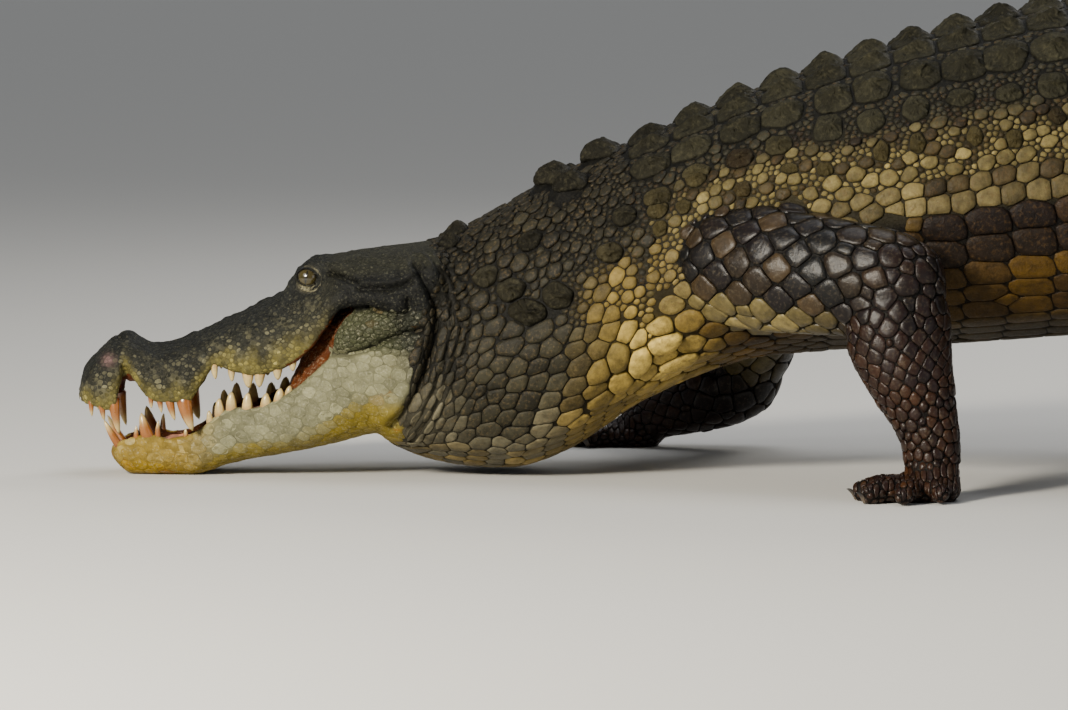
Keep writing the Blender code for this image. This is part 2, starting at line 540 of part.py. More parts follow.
def foot(name, spec, side, shank):
    bm = tube((
        (spec["sole"][0] + spec["size"][0], spec["sole"][1], 0.014, 0.018, 0.7 * spec["size"][1]),
        (spec["sole"][0] + 0.45 * spec["size"][0], spec["sole"][1], 0.017, 0.026, spec["size"][1] * 0.92),
        (spec["sole"][0] - 0.3 * spec["size"][0], spec["sole"][1], 0.015, 0.022, spec["size"][1]),
        (spec["sole"][0] - spec["size"][0], spec["sole"][1] + 0.006, 0.012, 0.015, spec["size"][1] * 0.86),
    ), side, 8)
    made = add_object(name, bm, "limb_hide", parts)
    ankle = spec["ankle"]
    heel = (spec["sole"][0] + 0.35 * spec["size"][0], spec["sole"][1])
    wrist = tube((
        (ankle[0], ankle[1], ankle[2], 0.034, 0.030),
        ((ankle[0] + heel[0]) / 2, (ankle[1] + heel[1]) / 2, 0.6 * ankle[2], 0.036, 0.033),
        (heel[0], heel[1], 0.014, 0.030, 0.034),
    ), side, 8)
    joined(made, wrist, "wrist")
    claws = []
    for number, (turn, length, radius, has_claw) in enumerate(spec["toes"], 1):
        start, ahead = toe_path(spec["sole"], turn, side)
        stations = []
        for share, height, scale in ((0.15, 0.014, 0.95), (0.62, 0.018, 1.0), (1.0, 0.0105, 0.78)):
            centre = start + ahead * length * share
            stations.append((centre.x, side * centre.y, height, radius * scale, radius * scale))
        joined(made, tube(stations, side, 7), "toe")
        if has_claw:
            claws.append((number, start, ahead, length, radius))
    if "hindfoot" in name:
        web = [(spec["sole"][0] - along, spec["sole"][1] + along * 0.18, z, z, across) for along, z, across in WEB]
        joined(made, tube(web, side, 8), "web")
    thinned(made, 0.56)
    floor = bmesh.new()
    bmesh.ops.create_cube(floor, size=1, matrix=Matrix.Translation((ankle[0], side * ankle[1], -0.5)))
    boolean(made, add_object("floor", floor, None, cutters), "DIFFERENCE")
    cut_clear(made, shank)
    for number, start, ahead, length, radius in claws:
        base = start + ahead * (length - 0.006)
        stations = []
        for share, height, scale in ((0.0, 0.0118, 0.52), (0.62, 0.0105, 0.36)):
            centre = base + ahead * CLAW_LENGTH * share
            stations.append((centre.x, side * centre.y, height, radius * scale * 1.1, radius * scale * 0.9))
        claw = add_object(f"{name}_claw_{number}", tube(stations, side, 5), "claw", parts)
        cut_clear(claw, made)
    return made


def limbs(neck, trunk, tail_base):
    for side_name, sign, arm, forearm, thigh, shank in (
        ("left", -1, LEFT_ARM, LEFT_FOREARM, LEFT_THIGH, LEFT_SHANK),
        ("right", 1, RIGHT_ARM, RIGHT_FOREARM, RIGHT_THIGH, RIGHT_SHANK),
    ):
        upper = add_object(side_name + "_upper_arm", tube(arm, sign), "limb_hide", parts)
        cut_clear(upper, trunk, neck)
        lower = add_object(side_name + "_forearm", tube(forearm, sign), "limb_hide", parts)
        cut_clear(lower, upper, trunk)
        foot(side_name + "_forefoot", FOREFEET[side_name], sign, lower)
        upper = add_object(side_name + "_thigh", tube(thigh, sign), "limb_hide", parts)
        cut_clear(upper, trunk, tail_base)
        lower = add_object(side_name + "_shank", tube(shank, sign), "limb_hide", parts)
        cut_clear(lower, upper, trunk)
        foot(side_name + "_hindfoot", HINDFEET[side_name], sign, lower)


def centre_on_floor():
    """Moves the whole animal so that the middle of its box is over the origin and its soles are at zero."""
    corners = np.array([vert.co for obj in parts.objects for vert in obj.data.vertices])
    low, high = corners.min(axis=0), corners.max(axis=0)
    shift = Matrix.Translation((-(low[0] + high[0]) / 2, -(low[1] + high[1]) / 2, -low[2]))
    for obj in parts.objects:
        obj.data.transform(shift)


for old in list(bpy.data.objects):
    bpy.data.objects.remove(old)
parts = collection("mugger_crocodile")
cutters = collection("cutters", hidden=True)
head_and_jaw()
limbs(*neck_and_trunk(), tail()[0])
centre_on_floor()
for piece in parts.objects:
    piece.data.shade_smooth()
    piece.data.set_sharp_from_angle(angle=SHARP)
for piece in cutters.objects:
    piece.hide_render = True
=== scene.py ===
import math

import bmesh
import bpy
import numpy as np
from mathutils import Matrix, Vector
from mathutils.bvhtree import BVHTree
from mathutils.kdtree import KDTree


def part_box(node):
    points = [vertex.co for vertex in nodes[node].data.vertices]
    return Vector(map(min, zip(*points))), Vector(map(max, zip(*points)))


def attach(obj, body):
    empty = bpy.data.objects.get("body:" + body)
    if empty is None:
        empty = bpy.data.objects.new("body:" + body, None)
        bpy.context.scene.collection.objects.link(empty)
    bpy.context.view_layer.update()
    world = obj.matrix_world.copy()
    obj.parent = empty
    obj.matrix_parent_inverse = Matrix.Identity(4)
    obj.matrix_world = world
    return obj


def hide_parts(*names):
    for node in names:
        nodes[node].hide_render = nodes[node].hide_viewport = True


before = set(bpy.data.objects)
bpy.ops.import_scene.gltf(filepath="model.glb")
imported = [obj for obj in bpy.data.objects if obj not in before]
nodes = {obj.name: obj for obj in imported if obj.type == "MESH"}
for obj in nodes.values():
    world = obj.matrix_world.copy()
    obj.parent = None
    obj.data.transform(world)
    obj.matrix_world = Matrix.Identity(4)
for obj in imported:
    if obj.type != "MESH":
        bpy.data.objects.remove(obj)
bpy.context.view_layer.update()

headLow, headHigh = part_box("head")
# every size below is measured from the snout's tip, on the middle plane of the head, at floor level
home = np.array((headLow.x, 0.5 * (headLow.y + headHigh.y), 0.0))
rng = np.random.default_rng(41)
sideNames = (("left", -1), ("right", 1))
gaze = (-0.2, 1.0, 0.1)  # where the right eye looks
fleshNames = ["head", "lower_jaw", "neck", "trunk", "tail_base", "tail_middle", "tail_end"]
for sideName, _ in sideNames:
    fleshNames += [f"{sideName}_{part}" for part in ("upper_arm", "forearm", "forefoot", "thigh", "shank",
                                                     "hindfoot")]
print("frame ready:", len(nodes), "nodes")

# soft curve through (x, value) keys, without overshoot
def curve(keys, x):
    xs, ys = np.array(keys, float).T
    x = np.clip(np.asarray(x, float), xs[0], xs[-1])
    slopes = np.diff(ys) / np.diff(xs)
    tangents = np.zeros(len(xs))
    tangents[0], tangents[-1] = slopes[0], slopes[-1]
    product = slopes[:-1] * slopes[1:]
    total = slopes[:-1] + slopes[1:]
    tangents[1:-1] = np.where(product > 0, 2 * product / np.where(total == 0, 1, total), 0)
    i = np.clip(np.searchsorted(xs, x) - 1, 0, len(xs) - 2)
    step = xs[i + 1] - xs[i]
    t = (x - xs[i]) / step
    low = ys[i] * (2 * t**3 - 3 * t**2 + 1) + tangents[i] * step * (t**3 - 2 * t**2 + t)
    return low + ys[i + 1] * (3 * t**2 - 2 * t**3) + tangents[i + 1] * step * (t**3 - t**2)


# millimetres, in any nest of tables, as metres
def metres(size):
    if isinstance(size, dict):
        return {key: metres(value) for key, value in size.items()}
    return tuple(map(metres, size)) if isinstance(size, tuple) else round(size / 1000, 7)


def ramp(value, low, high):
    t = np.clip((np.asarray(value, float) - low) / (high - low), 0, 1)
    return t * t * (3 - 2 * t)


def unit(rows):
    return rows / np.maximum(np.linalg.norm(rows, axis=-1, keepdims=True), 1e-12)


# cheap smooth noise from a few sine waves, about -1 to 1
def wavy(points, size, seed):
    chance = np.random.default_rng(seed)
    total = np.zeros(len(points))
    for k in range(7):
        way = unit(chance.normal(size=3)) * (2 * math.pi / size) * (0.6 + 0.25 * k)
        total += np.sin(points @ way + chance.uniform(0, 6.28)) / (1 + 0.25 * k)
    return total / 2.6


def dot(a, b, keep=False):
    return (a * b).sum(-1, keepdims=keep)


# middle, radius and line of sight of an eyeball
def eyePlace(name, side):
    low, high = (np.array(corner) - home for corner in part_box("eye_" + name))
    return 0.5 * (low + high), 0.5 * (high[2] - low[2]), unit(np.array(gaze) * (1, side, 1))


def meshArrays(mesh):
    points = np.empty(len(mesh.vertices) * 3)
    mesh.vertices.foreach_get("co", points)
    return points.reshape(-1, 3)


def setPoints(mesh, points):
    mesh.vertices.foreach_set("co", np.asarray(points, np.float32).ravel())
    mesh.update()


def newObject(name, mesh):
    made = bpy.data.objects.new(name, mesh)
    bpy.context.scene.collection.objects.link(made)
    return made


def meshOf(bm, name):
    mesh = bpy.data.meshes.new(name)
    bm.to_mesh(mesh)
    bm.free()
    return mesh


# the object's mesh with its modifiers made real
def applied(obj):
    bpy.context.view_layer.update()
    mesh = bpy.data.meshes.new_from_object(obj.evaluated_get(bpy.context.evaluated_depsgraph_get()))
    obj.modifiers.clear()
    obj.data = mesh
    return mesh


def addColour(mesh, name, values):
    layer = mesh.attributes.new(name, "FLOAT_COLOR", "POINT")
    data = np.ones((len(mesh.vertices), 4), np.float32)
    data[:, : values.shape[1]] = values
    layer.data.foreach_set("color", data.ravel())


# a closed tube of rows x columns points; place(u, v) gives its points, u along and v around
def gridSurface(rows, columns, place):
    bm = bmesh.new()
    bmesh.ops.create_grid(bm, x_segments=rows - 1, y_segments=columns, size=0.5)
    bm.verts.ensure_lookup_table()
    flat = np.array([vert.co for vert in bm.verts]) + 0.5
    points = place(flat[:, 0], flat[:, 1])
    for vert, point in zip(bm.verts, points):
        vert.co = point
    bmesh.ops.remove_doubles(bm, verts=bm.verts, dist=0.00005)
    bmesh.ops.holes_fill(bm, edges=bm.edges, sides=0)
    bmesh.ops.recalc_face_normals(bm, faces=bm.faces)
    return bm


view = {"elevation": 4.5, "distance": 8.073, "aim": (0.6204, 0.0, 0.1592), "lens": 200.0}


def addCamera():
    tilt = math.radians(view["elevation"])
    camera = bpy.data.cameras.new("camera")
    camera.lens = view["lens"]
    camera.sensor_width = 36
    camera.clip_end = 300
    made = newObject("camera", camera)
    aim = Vector(home) + Vector(view["aim"])
    made.location = aim + view["distance"] * Vector((0, -math.cos(tilt), math.sin(tilt)))
    made.rotation_euler = (math.pi / 2 - tilt, 0, 0)
    bpy.context.scene.camera = made


studio = {
    "floor": (0.62, 0.61, 0.58),
    "air": (0.8, 0.84, 0.9),
    "airStrength": 0.26, "wash": 0.72, "washAngle": 30,
    # name, place, size, watts, colour
    "lamps": (
        ("key", (-3.6, -3.6, 2.0), 0.8, 390.0, (1.0, 0.93, 0.79)),
        ("fill", (3.4, -4.2, 1.4), 3.0, 30.0, (0.9, 0.94, 1.0)),
        ("top", (-0.3, 0.6, 4.2), 2.6, 60.0, (0.97, 0.98, 1.0)),
        ("rim", (1.6, 3.6, 3.0), 2.0, 90.0, (1.0, 0.97, 0.92)),
    ),
}


def addStudio():
    bm = bmesh.new()
    bmesh.ops.create_grid(bm, x_segments=1, y_segments=1, size=80)
    floor = newObject("floor", meshOf(bm, "floor"))
    finish = bpy.data.materials.new("paleFloor")
    finish.use_nodes = True
    shader = finish.node_tree.nodes["Principled BSDF"]
    shader.inputs["Base Color"].default_value = (*studio["floor"], 1)
    shader.inputs["Roughness"].default_value = 0.85
    floor.data.materials.append(finish)
    world = bpy.data.worlds.new("studioAir")
    world.use_nodes = True
    world.node_tree.nodes["Background"].inputs["Color"].default_value = (*studio["air"], 1)
    world.node_tree.nodes["Background"].inputs["Strength"].default_value = studio["airStrength"]
    bpy.context.scene.world = world
    for name, place, size, watts, colour in studio["lamps"]:
        lamp = bpy.data.lights.new(name, "AREA")
        lamp.size = size
        lamp.energy = watts
        lamp.color = colour
        made = newObject(name, lamp)
        made.location = Vector(place)
        made.rotation_euler = (Vector((-0.8, 0, 0.25)) - made.location).to_track_quat("-Z", "Y").to_euler()
    sun = bpy.data.lights.new("wash", "SUN")
    sun.angle = math.radians(studio["washAngle"])
    sun.energy = studio["wash"]
    made = newObject("wash", sun)
    made.rotation_euler = Vector((3.1, 3.3, -2.6)).to_track_quat("-Z", "Y").to_euler()


addCamera()
addStudio()
print("camera and studio ready")

head = metres({  # keys are x and a height or a half width, in mm
    "end": 475,
    "top": ((0, 112), (10, 146), (28, 166), (54, 186), (70, 191), (87, 183), (105, 176), (132, 180), (166, 193),
        (248, 231), (290, 251), (335, 281), (360, 295), (411, 305), (480, 318)),
    "width": ((0, 12), (4, 28), (14, 47), (28, 61), (44, 69), (57, 69), (68, 62), (80, 66), (125, 88), (152, 95),
        (185, 94), (250, 105), (350, 134), (400, 147), (440, 156), (480, 156)),
    "table": ((0, 6), (14, 26), (44, 42), (70, 36), (100, 46), (150, 58), (250, 63), (285, 65), (315, 74),
        (345, 81), (400, 85), (480, 92)),
    "brow": ((0, -10), (100, -10), (200, -12), (272, -6), (286, 5), (297, 20), (312, 23), (330, 16), (347, 4),
        (365, -1), (480, -4)),
    "lip": ((0, 98), (20, 94), (46, 89), (57, 100), (66, 152), (73, 144), (84, 124), (98, 108), (115, 101),
        (152, 101), (166, 115), (180, 139), (193, 151), (207, 147), (245, 139), (275, 147), (302, 159), (324, 180),
        (347, 211), (356, 226), (366, 234), (480, 234)),
    "palate": ((0, 104), (60, 122), (150, 140), (250, 166), (300, 186), (347, 218), (366, 234), (480, 234)),
})
head["round"] = ((0, 2.1), (0.18, 2.0), (0.25, 1.6), (0.3, 0.82),
                 (0.332, 0.82), (0.362, 1.25), (0.48, 1.7))  # how boxy
jaw = metres({
    "start": 45.5,
    "lip": ((45, 39), (60, 47), (105, 57), (125, 51), (148, 54), (172, 67), (196, 86), (214, 95), (240, 94),
        (262, 101), (288, 114), (314, 134), (328, 146), (340, 158), (349, 171), (357, 194), (366, 215),
        (380, 227.5), (396, 234.5), (480, 234.5)),
    "bottom": ((45, 28), (52, 16), (62, 7), (76, 0), (160, 0), (186, 7), (207, 15), (302, 34), (356, 46), (411, 59),
        (440, 44), (480, 36)),
    "width": ((45, 24), (52, 37), (65, 49), (85, 57), (150, 67), (180, 74), (250, 96), (350, 129), (400, 147),
        (440, 156), (480, 156)),
    "floor": ((45, 35), (90, 40), (150, 40), (200, 62), (260, 82), (282, 104), (295, 134), (307, 158), (322, 182),
        (347, 211), (366, 226), (396, 234.5), (480, 234.5)),
})
jaw["lean"] = 0.149  # how far the last sections lean towards the neck


def leaned(x, z):
    share = np.clip((x - 0.38) / 0.0765, 0, 1.2)
    return x + jaw["lean"] * share**2 * (z - 0.177)


# points round a section: v runs from the top, down the right side, and up the left
def ringPoints(x, v, half):
    side = np.where(v <= 0.5, 1.0, -1.0)
    share = 1 - np.abs(1 - 2 * v)
    corners = np.array(half).transpose(0, 2, 1)  # corner, station, (y, z)
    place = share * (len(corners) - 1)
    i = np.clip(place.astype(int), 0, len(corners) - 2)
    t = place - i
    rows = np.arange(len(x))
    spot = corners[i, rows] * (1 - t)[:, None] + corners[i + 1, rows] * t[:, None]
    return np.stack([leaned(x, spot[:, 1]), side * spot[:, 0], spot[:, 1]], 1)


def skullSurface(u, v):
    x = np.where(u < 0.2, u * u / 0.2 * 0.25, u - 0.15) / 0.85 * head["end"]
    top, wide, table = (curve(head[key], x) for key in ("top", "width", "table"))
    edge = top + curve(head["brow"], x)
    lip, palate, power = (curve(head[key], x) for key in ("lip", "palate", "round"))
    palate = np.maximum(palate, lip - 0.02)
    waist = lip + 0.35 * (edge - lip)
    rise = np.maximum(0, edge - top)
    half = [(0 * x, top)]
    for share in (0.15, 0.3, 0.45, 0.6, 0.78, 0.92):
        blend = share**1.5 * (edge - top) + 0.12 * rise * math.sin(math.pi * share)
        half.append((share * table, top + blend))
    half.append((table, edge))
    for angle in range(8, 90, 8):
        across = math.sin(math.radians(angle)) ** (2 / power)
        up = math.cos(math.radians(angle)) ** (2 / power)
        half.append((table + (wide - table) * across, waist + (edge - waist) * up))
    for share in (0.0, 0.3, 0.6, 0.8, 0.93):
        half.append((wide * (1 - 0.03 * share**2), waist + (lip - waist) * share))
    half += [(0.945 * wide, lip), (0.91 * wide, lip - 0.001), (0.875 * wide, lip + 0.001)]
    half += [(0.85 * wide, lip + 0.35 * (palate - lip)), (0.8 * wide, lip + 0.75 * (palate - lip))]
    half += [(0.72 * wide, palate), (0.4 * wide, palate + 0.004), (0 * x, palate + 0.005)]
    points = ringPoints(x, v, half)
    points[u < 1e-6] = (0, 0, 0.112)
    return points


def jawSurface(u, v):
    x = jaw["start"] + np.where(u < 0.2, u * u / 0.2 * 0.25, u - 0.15) / 0.85 * (head["end"] - jaw["start"])
    lip, bottom, wide = (curve(jaw[key], x) for key in ("lip", "bottom", "width"))
    floor = np.minimum(curve(jaw["floor"], x), curve(head["palate"], x))
    tall = lip - bottom
    half = [(0 * x, floor), (0.3 * wide, floor), (0.55 * wide, floor), (0.7 * wide, floor + 0.12 * (lip - floor))]
    half += [(0.79 * wide, floor + 0.6 * (lip - floor)), (0.84 * wide, lip - 0.001), (0.885 * wide, lip + 0.0006)]
    half += [(0.93 * wide, lip), (0.965 * wide, lip - 0.05 * tall), (0.985 * wide, lip - 0.14 * tall)]
    for angle in (20, 45, 70, 90):
        away = math.radians(angle)
        half.append(((0.985 + 0.015 * math.sin(away)) * wide, lip - (0.14 + 0.28 * angle / 90) * tall))
    for angle in range(10, 91, 10):
        away = math.radians(angle)
        across = np.cos(away) ** 0.75
        half.append((wide * (0.42 + 0.58 * across), bottom + 0.58 * tall * (1 - math.sin(away) ** 0.9)))
    half += [(0.2 * wide, bottom), (0 * x, bottom)]
    points = ringPoints(x, v, half)
    points[u < 1e-6] = (jaw["start"], 0, 0.034)
    return points


# a welded copy of a solid, grown a little to close the thin gaps
def cadCopy(name, grow=0.0):
    bm = bmesh.new()
    bm.from_mesh(nodes[name].data)
    bmesh.ops.remove_doubles(bm, verts=bm.verts, dist=0.00002)
    bm.normal_update()
    grown = [vert.co + vert.normal * grow - Vector(home) for vert in bm.verts]
    for vert, spot in zip(bm.verts, grown):
        vert.co = spot
    return bm


def smoothed(points, edges, weight, rounds, pace=0.5):
    count = len(points)
    a, b = edges[:, 0], edges[:, 1]
    degree = np.bincount(a, minlength=count) + np.bincount(b, minlength=count)
    for _ in range(rounds):
        total = np.empty_like(points)
        for axis in range(3):
            total[:, axis] = np.bincount(a, weights=points[b, axis], minlength=count)
            total[:, axis] += np.bincount(b, weights=points[a, axis], minlength=count)
        points = points + (total / degree[:, None] - points) * (pace * weight)[:, None]
    return points


hide = {"voxel": 0.0032, "grow": 0.0006, "rounds": 34, "neckRounds": 150, "most": 196000, "candidates": 420000,
        "floor": 0.0004}
strokes = metres({  # lines on the sides of the head, in mm: (x, z) points, half width, out (+) or in (-)
    "earSlit": (((345, 277), (364, 275), (384, 268)), 3.6, -11),
    "earRidge": (((345, 270), (364, 267), (384, 260)), 3.5, 2),
    "earFlap": (((350, 284), (390, 281), (430, 279)), 6, 2.2),
    "tableEdge": (((384, 266), (430, 267), (453, 274), (467, 286)), 3.4, 4.2),
    "underTable": (((386, 259), (430, 260), (457, 268)), 3.6, -6.5),
    "cleft": (((352, 214), (360, 221), (370, 227), (384, 231), (398, 232)), 3.6, -8.5),
    "fold": (((398, 232), (421, 227), (444, 224), (455, 231), (453, 244)), 3.6, -7),
    "cheekBand": (((345, 236), (372, 246), (405, 247), (440, 240)), 9.5, 4.8),
    "muscle": (((368, 190), (395, 203), (430, 214)), 15, 8),
    "crease": (((350, 172), (373, 172), (392, 176), (418, 189), (444, 200), (472, 205)), 3.8, -8),
    "rear": (((462, 292), (480, 262), (490, 237), (491, 208), (484, 179), (475, 150), (463, 121), (450, 98),
        (430, 72)), 5.5, -10.5),
    "rearRim": (((452, 286), (468, 258), (477, 233), (478, 208), (470, 179), (461, 150), (450, 121), (436, 98),
        (414, 80)), 9, 4.5),
    "jawBorder": (((349, 160), (336, 147), (320, 134), (301, 119), (285, 110)), 4.5, 1.4),
    "fang": (((147, 122), (151, 130)), 13, 5),
    "beforeFang": (((118, 125), (122, 150)), 8, -2.5),
    "behindFang": (((186, 160), (200, 168)), 12, -5),
    "rearLip": (((225, 160), (255, 163), (290, 172)), 13, 4),
    "cheekHollow": (((300, 215), (330, 222)), 15, -3),
    "snoutGroove": (((110, 160), (160, 172), (220, 196), (270, 216)), 7, -1.6),
    "nose": (((20, 130), (34, 150)), 14, 2),
    "lowerFangs": (((96, 48), (99, 36)), 6.5, 2.6),
})
toothBumps = metres(((118, 46), (134, 40), (152, 40), (168, 46), (186, 66), (199, 78), (217, 85), (239, 86),
                     (261, 93),
                     (279, 101), (131, 112), (214, 149), (236, 147), (253, 148), (276, 155), (40, 100), (55, 100)))


# distance in side view from each place to a line of points
def lineGap(x, z, line):
    best = np.full(len(x), 9.0)
    spots = np.stack([x, z], 1)
    for a, b in zip(np.array(line)[:-1], np.array(line)[1:]):
        step = b - a
        share = np.clip((spots - a) @ step / (step @ step), 0, 1)
        best = np.minimum(best, np.linalg.norm(spots - a - share[:, None] * step, axis=1))
    return best


# presses the folds, bulges and pits of the head into the hide
def sculpted(points, normals):
    mine = np.flatnonzero(points[:, 0] < 0.54)
    x, y, z = points[mine].T
    normal = normals[mine]
    sides = ramp(np.abs(normal[:, 1]), 0.1, 0.45) * ramp(np.abs(y), 0.018, 0.035)
    push = np.zeros(len(mine))
    for line, half, depth in strokes.values():
        push += depth * np.exp(-((lineGap(x, z, line) / half) ** 2)) * sides
    for bx, bz in toothBumps:
        push += 0.0022 * np.exp(-(((x - bx) ** 2 + (z - bz) ** 2) / 0.0048**2)) * sides
    # folds of skin right behind the jaw, following its rear edge
    gap = lineGap(x, z, strokes["rear"][0])
    behind = (x > 0.45) * ramp(gap, 0.004, 0.01) * ramp(gap, 0.062, 0.03) * sides
    behind *= (x > np.interp(z, (0.07, 0.12, 0.18, 0.22, 0.29), (0.43, 0.46, 0.484, 0.492, 0.462)))
    push += 0.002 * behind * np.sin(gap * 2 * math.pi / 0.0115 + 1.2 * wavy(points[mine], 0.05, 51))
    # nostrils: a raised boss with a crescent pit on each side
    high = ramp(normal[:, 2], 0.2, 0.7) * (z > 0.14)
    boss = np.exp(-(((x - 0.062) / 0.02) ** 2 + ((np.abs(y) - 0.014) / 0.013) ** 2))
    pit = np.exp(-(((x - 0.057 - 0.3 * (np.abs(y) - 0.012)) / 0.0038) ** 2 + ((np.abs(y) - 0.016) / 0.008) ** 2))
    push += high * (0.0045 * boss - 0.011 * pit)
    # knobbly top of the snout and small wrinkles
    lumps = np.clip(wavy(points[mine], 0.03, 61), 0, 1) ** 2
    push += 0.0022 * lumps * ramp(normal[:, 2], 0.2, 0.6) * (x > 0.09) * ramp(x, 0.34, 0.3)
    push += 0.0007 * wavy(points[mine], 0.013, 62) * ramp(x, 0.46, 0.4)
    for name, side in sideNames:  # room for the eyeballs
        off = points[mine] - eyePlace(name, side)[0]
        outward = off[:, 1] * side > -0.004
        push -= 0.01 * ramp(np.linalg.norm(off, axis=1), 0.0195, 0.015) * outward
    points = points.copy()
    points[mine] += normal * push[:, None]
    return socketed(points)


# keeps the hide under the eyelids' own height round each eyeball
def socketed(points):
    edge, below, slope = 0.0125, 0.0014, 0.85
    for name, side in sideNames:
        centre, radius, look = eyePlace(name, side)
        off = points - centre
        tall = off @ look
        away = np.linalg.norm(off - tall[:, None] * look, axis=1)
        inner = np.sqrt(np.maximum(radius**2 - np.minimum(away, edge) ** 2, 0)) - below
        most = inner + slope * np.maximum(away - edge, 0)
        near = (away < 0.026) & (tall > 0) & (tall < 0.05)
        points[near] -= look * np.maximum(tall - most, 0)[near, None]
    return points


def makeHide():
    whole = bmesh.new()
    parts = [gridSurface(190, 112, skullSurface), gridSurface(170, 100, jawSurface)]
    for bm in parts + [cadCopy(name, hide["grow"]) for name in fleshNames[2:]]:
        whole.from_mesh(meshOf(bm, "part"))
    made = newObject("hide", meshOf(whole, "hide"))
    remesh = made.modifiers.new("remesh", "REMESH")
    remesh.mode = "VOXEL"
    remesh.voxel_size = hide["voxel"]
    mesh = applied(made)
    points = meshArrays(mesh)
    edges = np.empty(len(mesh.edges) * 2, np.int32)
    mesh.edges.foreach_get("vertices", edges)
    print("hide remeshed:", len(points), "points")
    x, z = points[:, 0], points[:, 2]
    body = ramp(x, 0.44, 0.52)
    foot = ramp(z, 0.075, 0.03) * (np.abs(points[:, 1]) > 0.28)
    weight = (0.12 + 0.88 * body) * (1 - 0.75 * foot)
    points = smoothed(points, edges.reshape(-1, 2), weight, hide["rounds"])
    near = np.flatnonzero((points[:, 0] > 0.4) & (points[:, 0] < 0.56))
    seam = np.zeros(len(points))
    seam[near] = ramp(points[near, 0], 0.415, 0.44) * ramp(points[near, 0], 0.54, 0.51)
    inside = np.full(len(points), -1)
    inside[near] = np.arange(len(near))
    pairs = inside[edges.reshape(-1, 2)]
    pairs = pairs[(pairs >= 0).all(1)]
    points[near] = smoothed(points[near], pairs, seam[near], hide["neckRounds"], 0.6)
    setPoints(mesh, points)
    normals = np.empty(len(points) * 3)
    mesh.vertex_normals.foreach_get("vector", normals)
    points = sculpted(points, normals.reshape(-1, 3))
    points[:, 2] = np.maximum(points[:, 2], hide["floor"])
    setPoints(mesh, points)
    keep = made.vertex_groups.new(name="thin")
    thin = 1 - 0.93 * ramp(points[:, 0], 0.5, 0.44)
    for level in np.unique(np.round(thin, 1)):
        keep.add(np.flatnonzero(np.round(thin, 1) == level).tolist(), float(level), "REPLACE")
    fewer = made.modifiers.new("fewer", "DECIMATE")
    fewer.ratio = hide["most"] / (2 * len(mesh.polygons))
    fewer.vertex_group = "thin"
    mesh = applied(made)
    made.vertex_groups.clear()
    bm = bmesh.new()
    bm.from_mesh(mesh)
    bmesh.ops.triangulate(bm, faces=bm.faces)
    bm.to_mesh(mesh)
    bm.free()
    print("hide thinned:", len(mesh.polygons), "faces")
    return made


hideObject = makeHide()

# looks up the nearest places on a triangle mesh, with soft normals
class Surface:

    def __init__(self, mesh):
        self.points = meshArrays(mesh)
        self.faces = np.empty(len(mesh.polygons) * 3, np.int32)
        mesh.polygons.foreach_get("vertices", self.faces)
        self.faces = self.faces.reshape(-1, 3)
        corners = self.points[self.faces]
        self.faceNormals = np.cross(corners[:, 1] - corners[:, 0], corners[:, 2] - corners[:, 0])
        normals = np.zeros_like(self.points)
        for k in range(3):
            for axis in range(3):
                normals[:, axis] += np.bincount(
                    self.faces[:, k], weights=self.faceNormals[:, axis], minlength=len(normals))
        self.normals = unit(normals)
        self.tree = BVHTree.FromPolygons(self.points.tolist(), self.faces.tolist(), all_triangles=True)

    def weights(self, spots, index):
        a, b, c = (self.points[self.faces[index, k]] for k in range(3))
        v0, v1, v2 = b - a, c - a, spots - a
        d00, d01, d11, d20, d21 = dot(v0, v0), dot(v0, v1), dot(v1, v1), dot(v2, v0), dot(v2, v1)
        base = np.maximum(d00 * d11 - d01 * d01, 1e-18)
        v = (d11 * d20 - d01 * d21) / base
        w = (d00 * d21 - d01 * d20) / base
        return np.clip(np.stack([1 - v - w, v, w], 1), 0, 1)

    # first place that a straight line from start meets
    def hit(self, start, way, reach=10.0):
        return self.tree.ray_cast(Vector(start), Vector(way), reach)[0]

    def nearest(self, spots):
        found = [self.tree.find_nearest(spot) for spot in spots.tolist()]
        places = np.array([hit[0] for hit in found])
        index = np.array([hit[2] for hit in found])
        return places, self.blended(self.normals, self.weights(places, index), index, True), index

    # a value of the corners carried to places inside the faces
    def blended(self, values, share, index, asUnit=False):
        total = sum(share[:, k : k + 1] * values[self.faces[index, k]] for k in range(3))
        return unit(total) if asUnit else total

    def scatter(self, count, chance):
        total = np.cumsum(0.5 * np.linalg.norm(self.faceNormals, axis=1))
        index = np.searchsorted(total, chance.random(count) * total[-1])
        u, v = chance.random((2, count))
        flip = u + v > 1
        u, v = np.where(flip, 1 - u, u), np.where(flip, 1 - v, v)
        share = np.stack([1 - u - v, u, v], 1)
        return self.blended(self.points, share, index), self.blended(self.normals, share, index, True)


hideSurface = Surface(hideObject.data)


def solidSurface(names):
    whole = bmesh.new()
    owner = []
    for k, name in enumerate(names):
        bm = cadCopy(name)
        bmesh.ops.triangulate(bm, faces=bm.faces)
        owner += [k] * len(bm.faces)
        whole.from_mesh(meshOf(bm, "part"))
    made = Surface(meshOf(whole, "solids"))
    made.owner = np.array(owner)
    return made


fleshSurface = solidSurface(fleshNames)
trunkSurface = solidSurface(fleshNames[2:7])

tail = {"start": 1.8, "end": 3.555, "sway": 0.2, "splits": (1.84, 2.42, 2.98, 3.555), "whorls": (8, 8, 10)}


def tailShare(x):
    return np.clip((x - tail["start"]) / (tail["end"] - tail["start"]), 0, 1)


def tailSway(x):
    along = tailShare(x)
    return tail["sway"] * along**2 * (1.8 - 0.8 * along)


def tailTurn(x):
    along = tailShare(x)
    return np.arctan(tail["sway"] * (3.6 * along - 2.4 * along**2) / (tail["end"] - tail["start"]))


